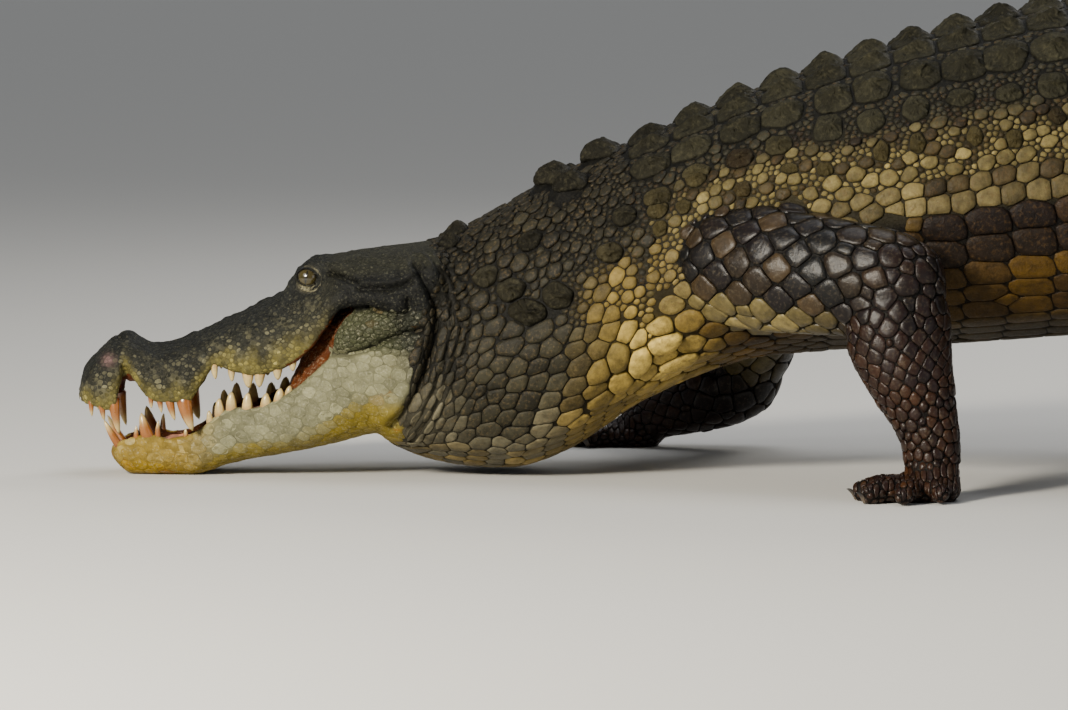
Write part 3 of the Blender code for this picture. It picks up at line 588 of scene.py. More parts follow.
# the trunk, neck and tail unrolled: x along, and girth from 0 on the back to 1 under the belly
class BodyMap:

    def __init__(self):
        self.step = 0.012
        self.x = np.arange(0.462, 3.55, self.step)
        self.angles = np.linspace(0, math.pi, 49)
        self.girths = np.linspace(0, 1, 65)
        count = len(self.x)
        self.centre = np.zeros((count, 3))
        self.places = np.zeros((2, count, 65, 3))
        self.girthAt = np.zeros((2, count, 49))
        self.length = np.zeros((2, count))
        for i, x in enumerate(self.x):
            y = float(tailSway(x))
            turn = float(tailTurn(x))
            top, low = (trunkSurface.hit((x, y, z), (0, 0, -z)).z for z in (1, -1))
            middle = Vector((x, y, low + 0.45 * (top - low)))
            self.centre[i] = middle
            for s, side in enumerate((-1, 1)):
                ring = []
                for angle in self.angles:
                    out = side * math.sin(angle)
                    way = Vector((-math.sin(turn) * out, math.cos(turn) * out, math.cos(angle)))
                    hit = trunkSurface.hit(middle, way)
                    ring.append(hit if hit is not None else middle + way * 0.01)
                ring = np.array(ring)
                arc = np.concatenate([[0], np.cumsum(np.linalg.norm(np.diff(ring, axis=0), axis=1))])
                self.length[s, i] = arc[-1]
                self.girthAt[s, i] = arc / arc[-1]
                for axis in range(3):
                    self.places[s, i, :, axis] = np.interp(self.girths, arc / arc[-1], ring[:, axis])

    def station(self, x):
        place = np.clip((x - self.x[0]) / self.step, 0, len(self.x) - 1.001)
        return place.astype(int), place - place.astype(int)

    # half way round the body at one x
    def lengthAt(self, x):
        return float(self.length[0, int((x - self.x[0]) / self.step)])

    # places on the body at x and girth, on the side -1 or 1
    def point(self, x, girth, side):
        s = int(side > 0)
        x, girth = np.broadcast_arrays(np.asarray(x, float), girth)
        i, fx = self.station(x)
        fx = fx[:, None]
        fg = np.clip(girth, 0, 0.9999) * 64
        j = fg.astype(int)
        fg = (fg - j)[:, None]
        low = self.places[s, i, j] * (1 - fg) + self.places[s, i, j + 1] * fg
        high = self.places[s, i + 1, j] * (1 - fg) + self.places[s, i + 1, j + 1] * fg
        return low * (1 - fx) + high * fx

    # girth of any places near the body, and the half length round it there
    def girth(self, spots):
        x = spots[:, 0]
        i = self.station(x)[0]
        turn = tailTurn(x)
        off = spots - self.centre[i]
        out = off[:, 1] * np.cos(turn) - off[:, 0] * np.sin(turn)
        angle = np.arctan2(np.abs(out), off[:, 2])
        s = (out > 0).astype(int)
        fa = np.clip(angle / math.pi * 48, 0, 47.999)
        j = fa.astype(int)
        fa = fa - j
        return self.girthAt[s, i, j] * (1 - fa) + self.girthAt[s, i, j + 1] * fa, self.length[s, i], s * 2 - 1


bodyMap = BodyMap()
print("body mapped")

limbs = {  # shoulder or hip to wrist or ankle: (x, out, z)
    "leftFore": (-1, ((0.85, 0.15, 0.298), (0.94, 0.245, 0.29), (1.025, 0.3, 0.284), (1.094, 0.338, 0.255),
                      (1.098, 0.346, 0.198), (1.112, 0.356, 0.15), (1.13, 0.366, 0.1), (1.138, 0.374, 0.05))),
    "rightFore": (1, ((0.87, 0.15, 0.3), (0.905, 0.24, 0.23), (0.924, 0.3, 0.165), (0.925, 0.33, 0.118),
                      (0.885, 0.338, 0.09), (0.845, 0.35, 0.07), (0.808, 0.36, 0.053), (0.775, 0.368, 0.04))),
    "leftHind": (-1, ((1.76, 0.08, 0.37), (1.69, 0.225, 0.35), (1.62, 0.31, 0.31), (1.612, 0.335, 0.28),
                      (1.64, 0.345, 0.215), (1.67, 0.355, 0.15), (1.69, 0.362, 0.095), (1.696, 0.366, 0.05))),
    "rightHind": (1, ((1.76, 0.08, 0.37), (1.745, 0.225, 0.325), (1.722, 0.32, 0.24), (1.74, 0.328, 0.22),
                      (1.8, 0.334, 0.182), (1.86, 0.338, 0.136), (1.908, 0.342, 0.096), (1.93, 0.344, 0.06))),
}
limbOf = {fleshNames.index(f"{sideName}_{part}"): sideName + pair for sideName, _ in sideNames
          for pair,
          parts in (("Fore", ("upper_arm", "forearm", "forefoot")), ("Hind", ("thigh", "shank", "hindfoot")))
          for part in parts}


# nearest place on a limb's own line: distance along it, direction, and angle round it
def limbPlace(spots, name):
    side, line = limbs[name]
    knots = np.array(line) * (1, side, 1)
    steps = unit(np.diff(knots, axis=0))
    best, along, gone = np.full(len(spots), 9.0), np.zeros(len(spots)), 0.0
    way, centre = np.zeros((2, len(spots), 3))
    for k, step in enumerate(steps):
        run = np.linalg.norm(knots[k + 1] - knots[k])
        share = np.clip((spots - knots[k]) @ step / run, 0, 1)
        spot = knots[k] + share[:, None] * (knots[k + 1] - knots[k])
        gap = np.linalg.norm(spots - spot, axis=1)
        nearer = gap < best
        before, after = steps[max(k - 1, 0)], steps[min(k + 1, len(steps) - 1)]
        blended = step + np.clip(0.5 - share, 0, 1)[:, None] * before + np.clip(share - 0.5, 0, 1)[:, None] * after
        best[nearer], along[nearer] = gap[nearer], (gone + share * run)[nearer]
        way[nearer], centre[nearer] = blended[nearer], spot[nearer]
        gone += run
    off = spots - centre
    return along, unit(way), np.arctan2(off[:, 1] * side, off[:, 0])


# points on the hide with all that the scales and the colours need to know about them
class Places:

    def __init__(self, spots, normals=None):
        if normals is None:
            spots, normals, _ = hideSurface.nearest(spots)
        self.spots, self.normals = spots, normals
        self.part = fleshSurface.owner[[fleshSurface.tree.find_nearest(spot)[2] for spot in spots.tolist()]]
        self.x, self.y, self.z = spots.T
        self.girth, _, self.side = bodyMap.girth(spots)
        turn = tailTurn(self.x)
        along = np.stack([np.cos(turn), np.sin(turn), 0 * self.x], 1)
        self.reach = np.zeros(len(spots))
        self.limb = np.full(len(spots), "", object)
        self.around = np.where(self.side > 0, 1, -1) * self.girth
        for index, name in limbOf.items():
            mine = self.part == index
            if mine.any():
                self.reach[mine], along[mine], angle = limbPlace(spots[mine], name)
                self.limb[mine] = name
                self.around[mine] = angle / math.pi
        self.foot = np.isin(self.part, [k for k in limbOf if "foot" in fleshNames[k]])
        along[self.foot & (self.z < 0.045)] = (-1.0, 0.0, 0.0)  # toes point ahead
        ways = along - normals * dot(along, normals, True)
        self.along = unit(ways + 1e-6 * np.array((0, 0, 1.0)))

    # the along direction swung in the skin by an angle, up towards the back on both sides
    def turned(self, degrees):
        angle = np.radians(degrees) * np.where(self.side > 0, 1, -1)
        across = np.cross(self.normals, self.along)
        return unit(self.along * np.cos(angle)[:, None] + across * np.sin(angle)[:, None])


isHead, isJaw, isNeck, isTrunk = range(4)


# half length, half width, slant in degrees, height, corner crispness and rank of a plain scale at each place
def scaleSizes(at, chance):
    n = len(at.x)
    long, wide = np.full(n, 0.01), np.full(n, 0.008)
    slant, height, crisp = np.zeros(n), np.full(n, 0.0016), np.full(n, 12.0)
    rank = np.zeros(n)
    luck = chance.random(n)

    def put(mask, a, b, turn, tall, edge):
        for target, value in ((long, a), (wide, b), (slant, turn), (height, tall), (crisp, edge)):
            target[mask] = value[mask] if isinstance(value, np.ndarray) else value

    x, z, g = at.x, at.z, at.girth
    skull = at.part == isHead
    lower = at.part == isJaw
    bead = 1 + 0.35 * (luck > 0.8)
    put(skull, 0.0026 * bead, 0.0022 * bead, 0, 0.00026, 14)
    put(lower, 0.0082, 0.0062, 12, 0.00022, 26)
    put(lower & (z > 0.172) & (x > 0.345), 0.0044, 0.0034, 10, 0.0009, 12)
    neck = at.part == isNeck
    near = ramp(x + 0.12 * (z - 0.2), 0.58, 0.485)  # the folds behind the jaw
    lowNeck = ramp(g, 0.5, 0.7)
    put(neck, 0.0135 - 0.004 * near + 0.002 * lowNeck, 0.0082 - 0.0045 * near + 0.001 * lowNeck,
        -36 + 12 * lowNeck - 42 * near, 0.0026 - 0.0014 * near, 24)
    crown = neck & (g < 0.4)
    put(crown, 0.0066, 0.0044, -50, 0.002, 12)
    large = crown & (luck < 0.1) & (x > 0.52)
    put(large, 0.0115, 0.009, -30, 0.004, 14)
    rank[large] = 0.5
    throat = neck & (g > 0.72)
    put(throat, 0.013, 0.0085, -8, 0.002, 14)
    trunk = at.part == isTrunk
    shoulder = (trunk | (neck & (x > 0.66))) & (x < 0.95) & (g > 0.2) & (g < 0.52)
    rear = ramp(x, 0.92, 1.35)
    low = ramp(g, 0.44, 0.5)
    put(trunk, 0.0112 + 0.006 * low * rear, 0.0094 + 0.0028 * low * rear, -16, 0.0034, 18)
    mixedZone = trunk & (g < 0.455) & (x >= 0.8)
    put(mixedZone, 0.004, 0.0034, 0, 0.0018, 10)
    sunk = ramp(g, 0.38, 0.455)
    ovals = mixedZone & (luck < 0.1 + 0.3 * sunk) & (g > 0.35)
    put(ovals, 0.0088 + 0.004 * sunk + 0.001 * rear, 0.0074 + 0.0025 * sunk, -14, 0.004, 18)
    put(shoulder, 0.0042, 0.0034, -40, 0.0018, 10)
    between = trunk & (g < 0.29) & (x > 0.75) & (x < 1.8)
    put(between, 0.0052, 0.0042, 0, 0.0016, 12)
    ovals &= ~between
    medium = shoulder & (luck < 0.1) & ~between
    put(medium, 0.0088, 0.007, -40, 0.0032, 16)
    rank[ovals | medium] = 0.5
    chest = trunk & (x < 1.0) & (g > 0.52)
    put(chest, 0.015, 0.011, -20, 0.0034, 12)
    tailPart = (at.part > isTrunk) & (at.part < 7)
    put(tailPart, 0.015, 0.012, 0, 0.0022, 10)
    limbPart = at.part >= 7
    fore = np.array(["Fore" in name for name in at.limb], bool)
    far = np.where(fore, ramp(at.reach, 0.16, 0.4), ramp(at.reach, 0.2, 0.46))
    inner = ramp(at.y * at.side, 0.3, 0.2) * (at.reach < 0.25)
    put(limbPart, 0.013 - 0.006 * far - 0.003 * inner, 0.011 - 0.0052 * far - 0.002 * inner, 0, 0.003, 18)
    put(at.foot, 0.005, 0.0042, 0, 0.0014, 9)
    bands = at.foot & (at.z < 0.045) & (at.normals[:, 2] > 0.1)
    put(bands, 0.0034, 0.0085, 0, 0.0018, 12)
    return long, wide, slant, height, crisp, rank


# growing list of scales, with one row per scale in every field
class Seeds:
    fields = ("spots", "normals", "along", "long", "wide", "height", "crisp", "keel", "fixed", "kind")

    def __init__(self):
        self.parts = {name: [] for name in self.fields}

    def add(self, *values):
        n = len(values[0])
        for name, value in zip(self.fields, values):
            self.parts[name].append(np.full(n, value) if np.ndim(value) == 0 else np.asarray(value))

    # scales laid out one by one: they stay where they are
    def lay(self, spots, long, wide, height, crisp, keel, kind, jitter=0.0):
        at = Places(np.asarray(spots, float))
        swing = np.random.default_rng(len(spots)).normal(size=len(spots)) * jitter
        self.add(at.spots, at.normals, at.turned(swing), long, wide, height, crisp, keel, 1.0, kind)

    def all(self):
        return {name: np.concatenate(parts) for name, parts in self.parts.items()}


def picked(seeds, mask):
    return {name: values[mask] for name, values in seeds.items()}


def treeOf(spots):
    tree = KDTree(len(spots))
    for k, spot in enumerate(spots.tolist()):
        tree.insert(spot, k)
    tree.balance()
    return tree


# the nearest other rows of each row
def neighbours(spots, count):
    tree = treeOf(spots)
    found = np.array([[hit[1] for hit in tree.find_n(spot, count + 1)] for spot in spots.tolist()])
    itself = found == np.arange(len(spots))[:, None]
    itself[~itself.any(1), -1] = True
    return found[~itself].reshape(len(spots), count)


# how many half sizes of the seed the step is long: 1 is its own rim
def stretch(seeds, rows, step):
    along = seeds["along"][rows]
    across = np.cross(seeds["normals"][rows], along)
    lengthwise, sideways = dot(step, along) / seeds["long"][rows], dot(step, across) / seeds["wide"][rows]
    return np.sqrt(lengthwise**2 + sideways**2) + 1e-9


def isShield(seeds):
    return (seeds["keel"] > 0) & (seeds["wide"] > 0.0225)


# drops the candidates that a scale already placed would cover
def cleared(seeds, placed, pack):
    tree = treeOf(seeds["spots"])
    gone = np.zeros(len(seeds["spots"]), bool)
    reach = (1.3 * np.maximum(placed["long"], placed["wide"]) + 0.012) * pack
    shields = isShield(placed)
    for k, spot in enumerate(placed["spots"].tolist()):
        found = np.array([hit[1] for hit in tree.find_range(spot, float(reach[k]))], int)
        if not len(found):
            continue
        step = seeds["spots"][found] - placed["spots"][k]
        own, other = stretch(placed, k, step), stretch(seeds, found, step)
        normal, along = placed["normals"][k], placed["along"][k]
        if shields[k]:  # shields are nearly square
            across = np.abs(step @ np.cross(normal, along)) / placed["wide"][k]
            own = 0.93 * np.maximum(np.abs(step @ along) / placed["long"][k], across) + 1e-9
            own = np.hypot(own, 1.5 * (step @ normal) / placed["wide"][k])
        gone[found[(1 / own + 1 / other > 1 / pack) & (dot(seeds["normals"][found], normal) > -0.1)]] = True
    return picked(seeds, ~gone)


# the large and the laid-out scales first, then the small ones in the room that is left
def spread(seeds, pack, chance):
    first = seeds["fixed"] > 0
    placed = thinned(picked(seeds, first), pack, chance)
    rest = thinned(cleared(picked(seeds, ~first), placed, pack), pack, chance)
    return {name: np.concatenate([placed[name], rest[name]]) for name in seeds}


# of many candidates, keeps a set whose scales just clear each other: fixed ones always stay
def thinned(seeds, pack, chance):
    near = neighbours(seeds["spots"], 36)
    rows = np.arange(len(near))[:, None]
    step = seeds["spots"][near] - seeds["spots"][rows]
    clash = (1 / stretch(seeds, rows, step) + 1 / stretch(seeds, near, step)) > 1 / pack
    clash &= dot(seeds["normals"][near], seeds["normals"][rows]) > -0.1
    order = chance.random(len(near)) + 2.0 * seeds["fixed"]
    state = np.where(seeds["fixed"] >= 1, 1, 0)  # 1 stays, -1 goes
    for _ in range(41):
        state[(clash & (state[near] == 1)).any(1) & (state == 0)] = -1
        if not (state == 0).any():
            break
        rival = clash & (state[near] == 0) & (order[near] > order[:, None])
        state[(state == 0) & ~rival.any(1)] = 1
    return picked(seeds, state == 1)


# how far a scale may reach, as multiples of its own ellipse, in each direction
def scaleCaps(seeds, turn):
    kind, long = seeds["kind"], seeds["long"]
    cap = np.where((kind == 0) & (long > 0.0062), 1.5, 1.75)
    cap = np.where((kind == 7) & (long < 0.01), 1.22, np.where(kind >= 7, 1.55, cap))
    cap = np.where((seeds["fixed"] == 0.5) | (seeds["keel"] > 0), 1.22, cap)
    square = (np.abs(np.cos(turn)) ** 5 + np.abs(np.sin(turn)) ** 5) ** -0.2
    return np.where(isShield(seeds)[:, None], 1.08 * square[None], cap[:, None])


# each scale's rim as multiples of its own ellipse, in even directions, where it meets its neighbours
def outlines(seeds, sides, cap=None):
    near = neighbours(seeds["spots"], 28)
    rows = np.arange(len(near))[:, None]
    step = seeds["spots"][near] - seeds["spots"][rows]

    def pull(index):
        along, long, wide = (seeds[key][index] for key in ("along", "long", "wide"))
        across = np.cross(seeds["normals"][index], along)
        return (along * dot(step, along, True) / long[..., None] ** 2
                + across * dot(step, across, True) / wide[..., None] ** 2)

    # the border between a large and a small scale follows the large one's shape
    size = (1e4 * seeds["long"] * seeds["wide"]) ** 2
    share = (size[rows] / (size[rows] + size[near]))[..., None]
    border = share * pull(rows) + (1 - share) * pull(near)
    own, other = stretch(seeds, rows, step), stretch(seeds, near, step)
    reach = other / (own + other) * dot(step, border)
    reach = np.where(dot(seeds["normals"][near], seeds["normals"][rows]) < -0.1, 1e9, reach)
    turn = 2 * math.pi * (np.arange(sides) + 0.5) / sides
    along = seeds["along"][:, None]
    across = np.cross(seeds["normals"], seeds["along"])[:, None]
    ways = along * (np.cos(turn)[:, None] * seeds["long"][:, None, None])
    ways = ways + across * (np.sin(turn)[:, None] * seeds["wide"][:, None, None])
    facing = np.einsum("nmx,nkx->nmk", ways, border)
    rim = np.where(facing > 1e-9, reach[:, None] / np.maximum(facing, 1e-9), 1e3)
    power = seeds["crisp"][:, None]
    rim = (np.clip(rim, 0.05, 50) ** -power[:, None]).sum(-1)
    cap = scaleCaps(seeds, turn) if cap is None else cap
    return (rim + cap**-power) ** (-1 / power), ways


# moves the free scales to the middle of their own room
def relaxed(seeds, rounds):
    for _ in range(rounds):
        rim, ways = outlines(seeds, 10, 1.6)
        step = (2 / 3) * (rim[:, :, None] ** 3 * ways).sum(1) / (rim**2).sum(1)[:, None]
        free = (seeds["fixed"] < 1)[:, None]
        spots, normals, _ = hideSurface.nearest(seeds["spots"] + step * (free * 0.9))
        seeds["spots"] = np.where(free, spots, seeds["spots"])
        seeds["normals"] = np.where(free, normals, seeds["normals"])
        seeds["along"] = unit(seeds["along"] - seeds["normals"] * dot(seeds["along"], seeds["normals"], True))
    return seeds


scutes = {
    "pitch": 0.059, "first": 0.745, "last": 1.8, "long": 0.03,
    # girth of the row, half width, height, keel, and how far from even the row is
    "rows": ((0.05, 0.04, 0.0045, 0.01, 0.0), (0.148, 0.039, 0.0045, 0.012, 0.1),
             (0.244, 0.032, 0.0045, 0.012, 0.4), (0.326, 0.023, 0.004, 0.009, 1.0),
             (0.395, 0.013, 0.004, 0.004, 1.6)),
}
nape = {  # x, out, half length, half width, height
    "shield": ((0.512, 0.022, 0.019, 0.021, 0.007), (0.506, 0.064, 0.017, 0.019, 0.007),
               (0.64, 0.033, 0.036, 0.033, 0.008), (0.704, 0.031, 0.035, 0.031, 0.008),
               (0.664, 0.097, 0.034, 0.037, 0.008)),
    # single knobs on the sides: x, girth, half length, half width, height
    "knobs": ((0.556, 0.3, 0.019, 0.016, 0.007), (0.59, 0.36, 0.021, 0.017, 0.008),
              (0.615, 0.26, 0.018, 0.015, 0.007),
              (0.612, 0.43, 0.024, 0.019, 0.008), (0.655, 0.44, 0.022, 0.018, 0.008),
              (0.722, 0.4, 0.02, 0.016, 0.007),
              (0.785, 0.36, 0.017, 0.014, 0.006), (0.752, 0.27, 0.02, 0.017, 0.007),
              (0.836, 0.33, 0.016, 0.013, 0.005)),
}


def backScutes(seeds):
    chance = np.random.default_rng(5)
    for girth, half, height, keel, loose in scutes["rows"]:
        xs = np.arange(scutes["first"] + 0.5 * scutes["pitch"], scutes["last"], scutes["pitch"])
        scale = np.interp(xs, (0.75, 1.05, 1.5, 1.8), (0.72, 0.97, 0.97, 0.72))
        for side in (-1, 1):
            x = xs + chance.normal(size=len(xs)) * 0.006 * loose
            g = girth + chance.normal(size=len(xs)) * 0.006 * loose
            size = scale * (1 + 0.12 * loose * chance.normal(size=len(xs)))
            long = scutes["long"] if half > 0.03 else 0.92 * half
            seeds.lay(bodyMap.point(x, g, side), long, half * size, height, 26.0, keel, 1)


def napeScutes(seeds):
    for side in (-1, 1):
        x, out, long, wide, height = np.array(nape["shield"]).T
        spots = [trunkSurface.hit((x, side * y, 1), (0, 0, -1)) for x, y in zip(x, out)]
        seeds.lay(spots, long, wide, height, 18.0, 0.008, 1, 3)
        x, girth, long, wide, height = np.array(nape["knobs"]).T
        seeds.lay(bodyMap.point(x, girth, side), long, wide, height, 18.0, 0.0085, 1, 12)


belly = {"first": 1.04, "girth": 0.605, "span": 0.395, "width": 0.031,
         "sideFrom": 1.1, "sideGirths": (0.535, 0.582), "sideWidth": 0.047}


# plates under the belly and low on the flanks, in straight rows across
def bellyRows(seeds):
    chance = np.random.default_rng(9)
    pitch = scutes["pitch"]
    span = belly["span"]
    for x in np.arange(belly["first"], scutes["last"], pitch):
        length = bodyMap.lengthAt(x)
        count = round(span * length / belly["width"])
        girths = belly["girth"] + (np.arange(count) + 0.5) * span / count
        for side in (-1, 1):
            seeds.lay(bodyMap.point(x, girths, side), 0.5 * pitch, 0.5 * span * length / count, 0.0022, 26.0, 0.0, 2)
            uneven = x + chance.normal(size=2) * 0.002
            if x > belly["sideFrom"]:
                spots = bodyMap.point(uneven, np.array(belly["sideGirths"]), side)
                seeds.lay(spots, 0.49 * pitch, 0.5 * belly["sideWidth"] * length, 0.004, 22.0, 0.0, 3, 2)


# each whorl of the tail: x, pitch
def whorls(offset, last):
    for start, end, count in zip(tail["splits"], tail["splits"][1:], tail["whorls"]):
        pitch = (end - start) / count
        for k in range(count):
            if start + pitch * (k + offset) <= last:
                yield start + pitch * (k + offset), pitch


def tailWhorls(seeds):
    for x, pitch in whorls(0.56, 3.53):
        length = bodyMap.lengthAt(x)
        first = 0.1 + 0.05 * float(ramp(x, 2.4, 3.0))
        rows = max(2, round((1 - first) * length / 0.03))
        for side in (-1, 1):
            girths = first + (np.arange(rows) + 0.5) * (1 - first) / rows
            half = 0.5 * (1 - first) * length / rows
            seeds.lay(bodyMap.point(x, girths, side), 0.5 * pitch, half, 0.0026, 22.0, 0.0, 4)


armpit = {  # swollen scales in front of the shoulder: x, z, half length, half width, slant, height
    "scales": ((0.785, 0.213, 0.0155, 0.0115, -15, 0.0075), (0.792, 0.19, 0.0205, 0.0135, -22, 0.009),
               (0.812, 0.163, 0.026, 0.0135, -18, 0.0085), (0.762, 0.166, 0.025, 0.0135, -80, 0.0075),
               (0.733, 0.172, 0.019, 0.012, -72, 0.0062), (0.735, 0.135, 0.017, 0.014, -60, 0.0062),
               (0.77, 0.128, 0.018, 0.013, -35, 0.006), (0.8, 0.135, 0.02, 0.012, -25, 0.006),
               (0.845, 0.15, 0.021, 0.011, -15, 0.006), (0.706, 0.15, 0.0165, 0.011, -62, 0.005),
               (0.745, 0.205, 0.015, 0.01, -60, 0.005), (0.712, 0.112, 0.0165, 0.0115, -50, 0.0046)),
}


def armpitScales(seeds):
    rows = np.array(armpit["scales"])
    for side in (-1, 1):
        at = Places(np.array([hideSurface.hit((x, side * 0.7, z), (0, -side, 0)) for x, z in rows[:, :2]]))
        body = at.part < 7
        long, wide, slant, height = rows[:, 2:].T
        seeds.add(at.spots[body], at.normals[body], at.turned(slant)[body], long[body], wide[body], height[body],
                  14.0, 0.0, 1.0, 5)


diamonds = {"pitch": ((0.04, 0.03), (0.24, 0.031), (0.33, 0.023), (0.42, 0.014), (0.47, 0.012)), "long": 1.15,
            "height": 0.0034, "first": 0.07, "last": (0.43, 0.45)}


# rows of scales round each leg, set half a step off each other, so that they meet as diamonds
def limbDiamonds(seeds):
    for name, (side, line) in limbs.items():
        knots = np.array(line) * (1, side, 1)
        runs = np.concatenate([[0], np.cumsum(np.linalg.norm(np.diff(knots, axis=0), axis=1))])
        reach, row = diamonds["first"], 0
        chance = np.random.default_rng(int(side) + 77)
        while reach < diamonds["last"][name.endswith("Hind")]:
            pitch = float(curve(diamonds["pitch"], reach))
            centre, ahead, before = (np.array([np.interp(at, runs, knots[:, axis]) for axis in range(3)])
                                     for at in (reach, reach + 0.03, reach - 0.03))
            way = unit(ahead - before)
            level = unit(np.cross(way, (0.3, 0, 1.0)))
            upright = np.cross(level, way)
            ring = []
            for angle in np.linspace(0, 2 * math.pi, 61):
                spot = hideSurface.hit(centre, level * math.cos(angle) + upright * math.sin(angle), 0.16)
                ring.append(spot or (np.nan,) * 3)
            ring = np.array(ring)
            gaps = np.linalg.norm(np.diff(ring, axis=0), axis=1)
            gaps = np.where(np.isnan(gaps) | (gaps > 0.03), 0.0, gaps)
            arc = np.concatenate([[0], np.cumsum(gaps)])
            count = max(5, round(arc[-1] / (1.414 * pitch)))
            marks = (np.arange(count) + 0.5 * (row % 2)) / count * arc[-1]
            pick = np.clip(np.searchsorted(arc, marks), 1, 60)
            share = ((marks - arc[pick - 1]) / np.maximum(arc[pick] - arc[pick - 1], 1e-9))[:, None]
            spots = ring[pick - 1] * (1 - share) + ring[pick] * share
            spots = spots[~np.isnan(spots).any(1)]
            spots = spots + 0.05 * pitch * chance.normal(size=spots.shape)
            at = Places(spots) if len(spots) else None
            if at and (at.limb == name).any():
                mine = at.limb == name
                half = 0.5 * pitch * (1 + 0.05 * chance.normal(size=mine.sum()))
                seeds.add(at.spots[mine], at.normals[mine], at.along[mine], half * diamonds["long"], half,
                          diamonds["height"] * pitch / 0.031, 24.0, 0.0, 1.0, 6)
            reach += 0.707 * pitch * diamonds["long"]
            row += 1


rowFields = {
    # rows of like scales: part, x from-to, girth from-to, two steps of the row pattern as (length, degrees
    # above level), half length, half width, slant at both ends in x, height, how even, crispness
    "neckLow": (isNeck, 0.545, 0.8, 0.42, 0.74, (0.0262, 28), (0.0222, 76), 0.0142, 0.0092, -34, -60, 0.0026, 0.05,
                30),
    "throat": (isNeck, 0.48, 0.86, 0.74, 1.0, (0.027, 4), (0.0175, 84), 0.013, 0.0088, -10, -14, 0.002, 0.05, 30),
    "jawFolds": (isNeck, 0.455, 0.545, 0.42, 0.74, (0.0185, 40), (0.015, 88), 0.0105, 0.006, -62, -52, 0.0017, 0.07,
                 28),
    "shoulder": (None, 0.69, 0.96, 0.23, 0.5, (0.025, 36), (0.0225, -48), 0.0094, 0.0078, -30, -20, 0.0034, 0.07, 18),
    "beads": (isTrunk, 0.96, 1.8, 0.345, 0.425, (0.029, 10), (0.0255, 62), 0.0094, 0.0078, -14, -14, 0.0036, 0.08,
              18),
}
flankRows = {  # girth, half length and half width at x 0.86 and at x 1.25, slant, height
    "girths": ((0.437, 0.0092, 0.008, 0.0135, 0.0098, -24, 0.0036), (0.466, 0.01, 0.0088, 0.016, 0.0118, -22, 0.004),
               (0.499, 0.011, 0.01, 0.018, 0.014, -16, 0.0042)),
}


# scales in slanting rows, each a little out of line
def rowScales(seeds):
    chance = np.random.default_rng(55)
    i, j = np.meshgrid(np.arange(-160, 160), np.arange(-160, 160))
    for part, x0, x1, g0, g1, first, second, a, b, slant0, slant1, height, loose, crisp in rowFields.values():
        steps = np.array([(length * math.cos(math.radians(angle)), length * math.sin(math.radians(angle)))
                          for length, angle in (first, second)])
        grid = i.ravel()[:, None] * steps[0] + j.ravel()[:, None] * steps[1]
        for side in (-1, 1):
            flat = grid + loose * np.linalg.norm(steps, axis=1).mean() * chance.normal(size=grid.shape)
            x, down = flat[:, 0] + x0, -flat[:, 1]
            g = 0.5 + down / np.interp(x, bodyMap.x, bodyMap.length[int(side > 0)])
            inside = (x > x0) & (x < x1) & (g > g0) & (g < g1)
            at = Places(bodyMap.point(x[inside], g[inside], side))
            mine = np.isin(at.part, (isNeck, isTrunk) if part is None else part)
            slant = np.interp(at.x, (x0, x1), (slant0, slant1)) + 4 * chance.normal(size=len(at.x))
            vary = np.exp(0.07 * chance.normal(size=mine.sum()))
            seeds.add(at.spots[mine], at.normals[mine], at.turned(slant)[mine], a * vary, b * vary, height, crisp,
                      0.0, 0.6, 7)


# three rows of large ovals along the flank, each growing towards the rear
def flankOvals(seeds):
    chance = np.random.default_rng(56)
    for k, (girth, long0, wide0, long1, wide1, slant, height) in enumerate(flankRows["girths"]):
        for side in (-1, 1):
            x, table = 0.845 + 0.011 * k, []
            while x < 1.8:
                share = float(ramp(x, 0.86, 1.25))
                long, wide = long0 + (long1 - long0) * share, wide0 + (wide1 - wide0) * share
                table.append((x + long, girth + 0.0035 * chance.normal() * (1 - share), long, wide))
                x += 1.9 * long * math.exp(0.07 * chance.normal())
            x, g, long, wide = np.array(table).T
            at = Places(bodyMap.point(x, g, side))
            mine = at.part == isTrunk
            ways = at.turned(slant + 4 * chance.normal(size=len(table)))
            seeds.add(at.spots[mine], at.normals[mine], ways[mine], long[mine], wide[mine], height, 26.0, 0.0, 0.7, 8)


# candidates strewn over the hide, thicker where the scales are small
def plainScales(seeds, count, chance):
    spots, normals = hideSurface.scatter(count, chance)
    at = Places(spots, normals)
    long, wide, slant, height, crisp, rank = scaleSizes(at, chance)
    keep = chance.random(len(spots)) < (0.004**2 / (long * wide)) * np.where(rank > 0, 3, 1)
    vary = np.exp(0.1 * chance.normal(size=len(spots)))
    seeds.add(spots[keep], normals[keep], at.turned(slant)[keep], (long * vary)[keep], (wide * vary)[keep],
              height[keep], crisp[keep], 0.0, rank[keep], 0)


def seedAll():
    found = Seeds()
    for lay in (backScutes, napeScutes, bellyRows, tailWhorls, armpitScales, limbDiamonds, rowScales, flankOvals):
        lay(found)
    plainScales(found, hide["candidates"], rng)
    seeds = spread(found.all(), 0.86, rng)
    print("scales placed:", len(seeds["spots"]))
    return relaxed(seeds, 3)


seeds = seedAll()
print("scales settled")

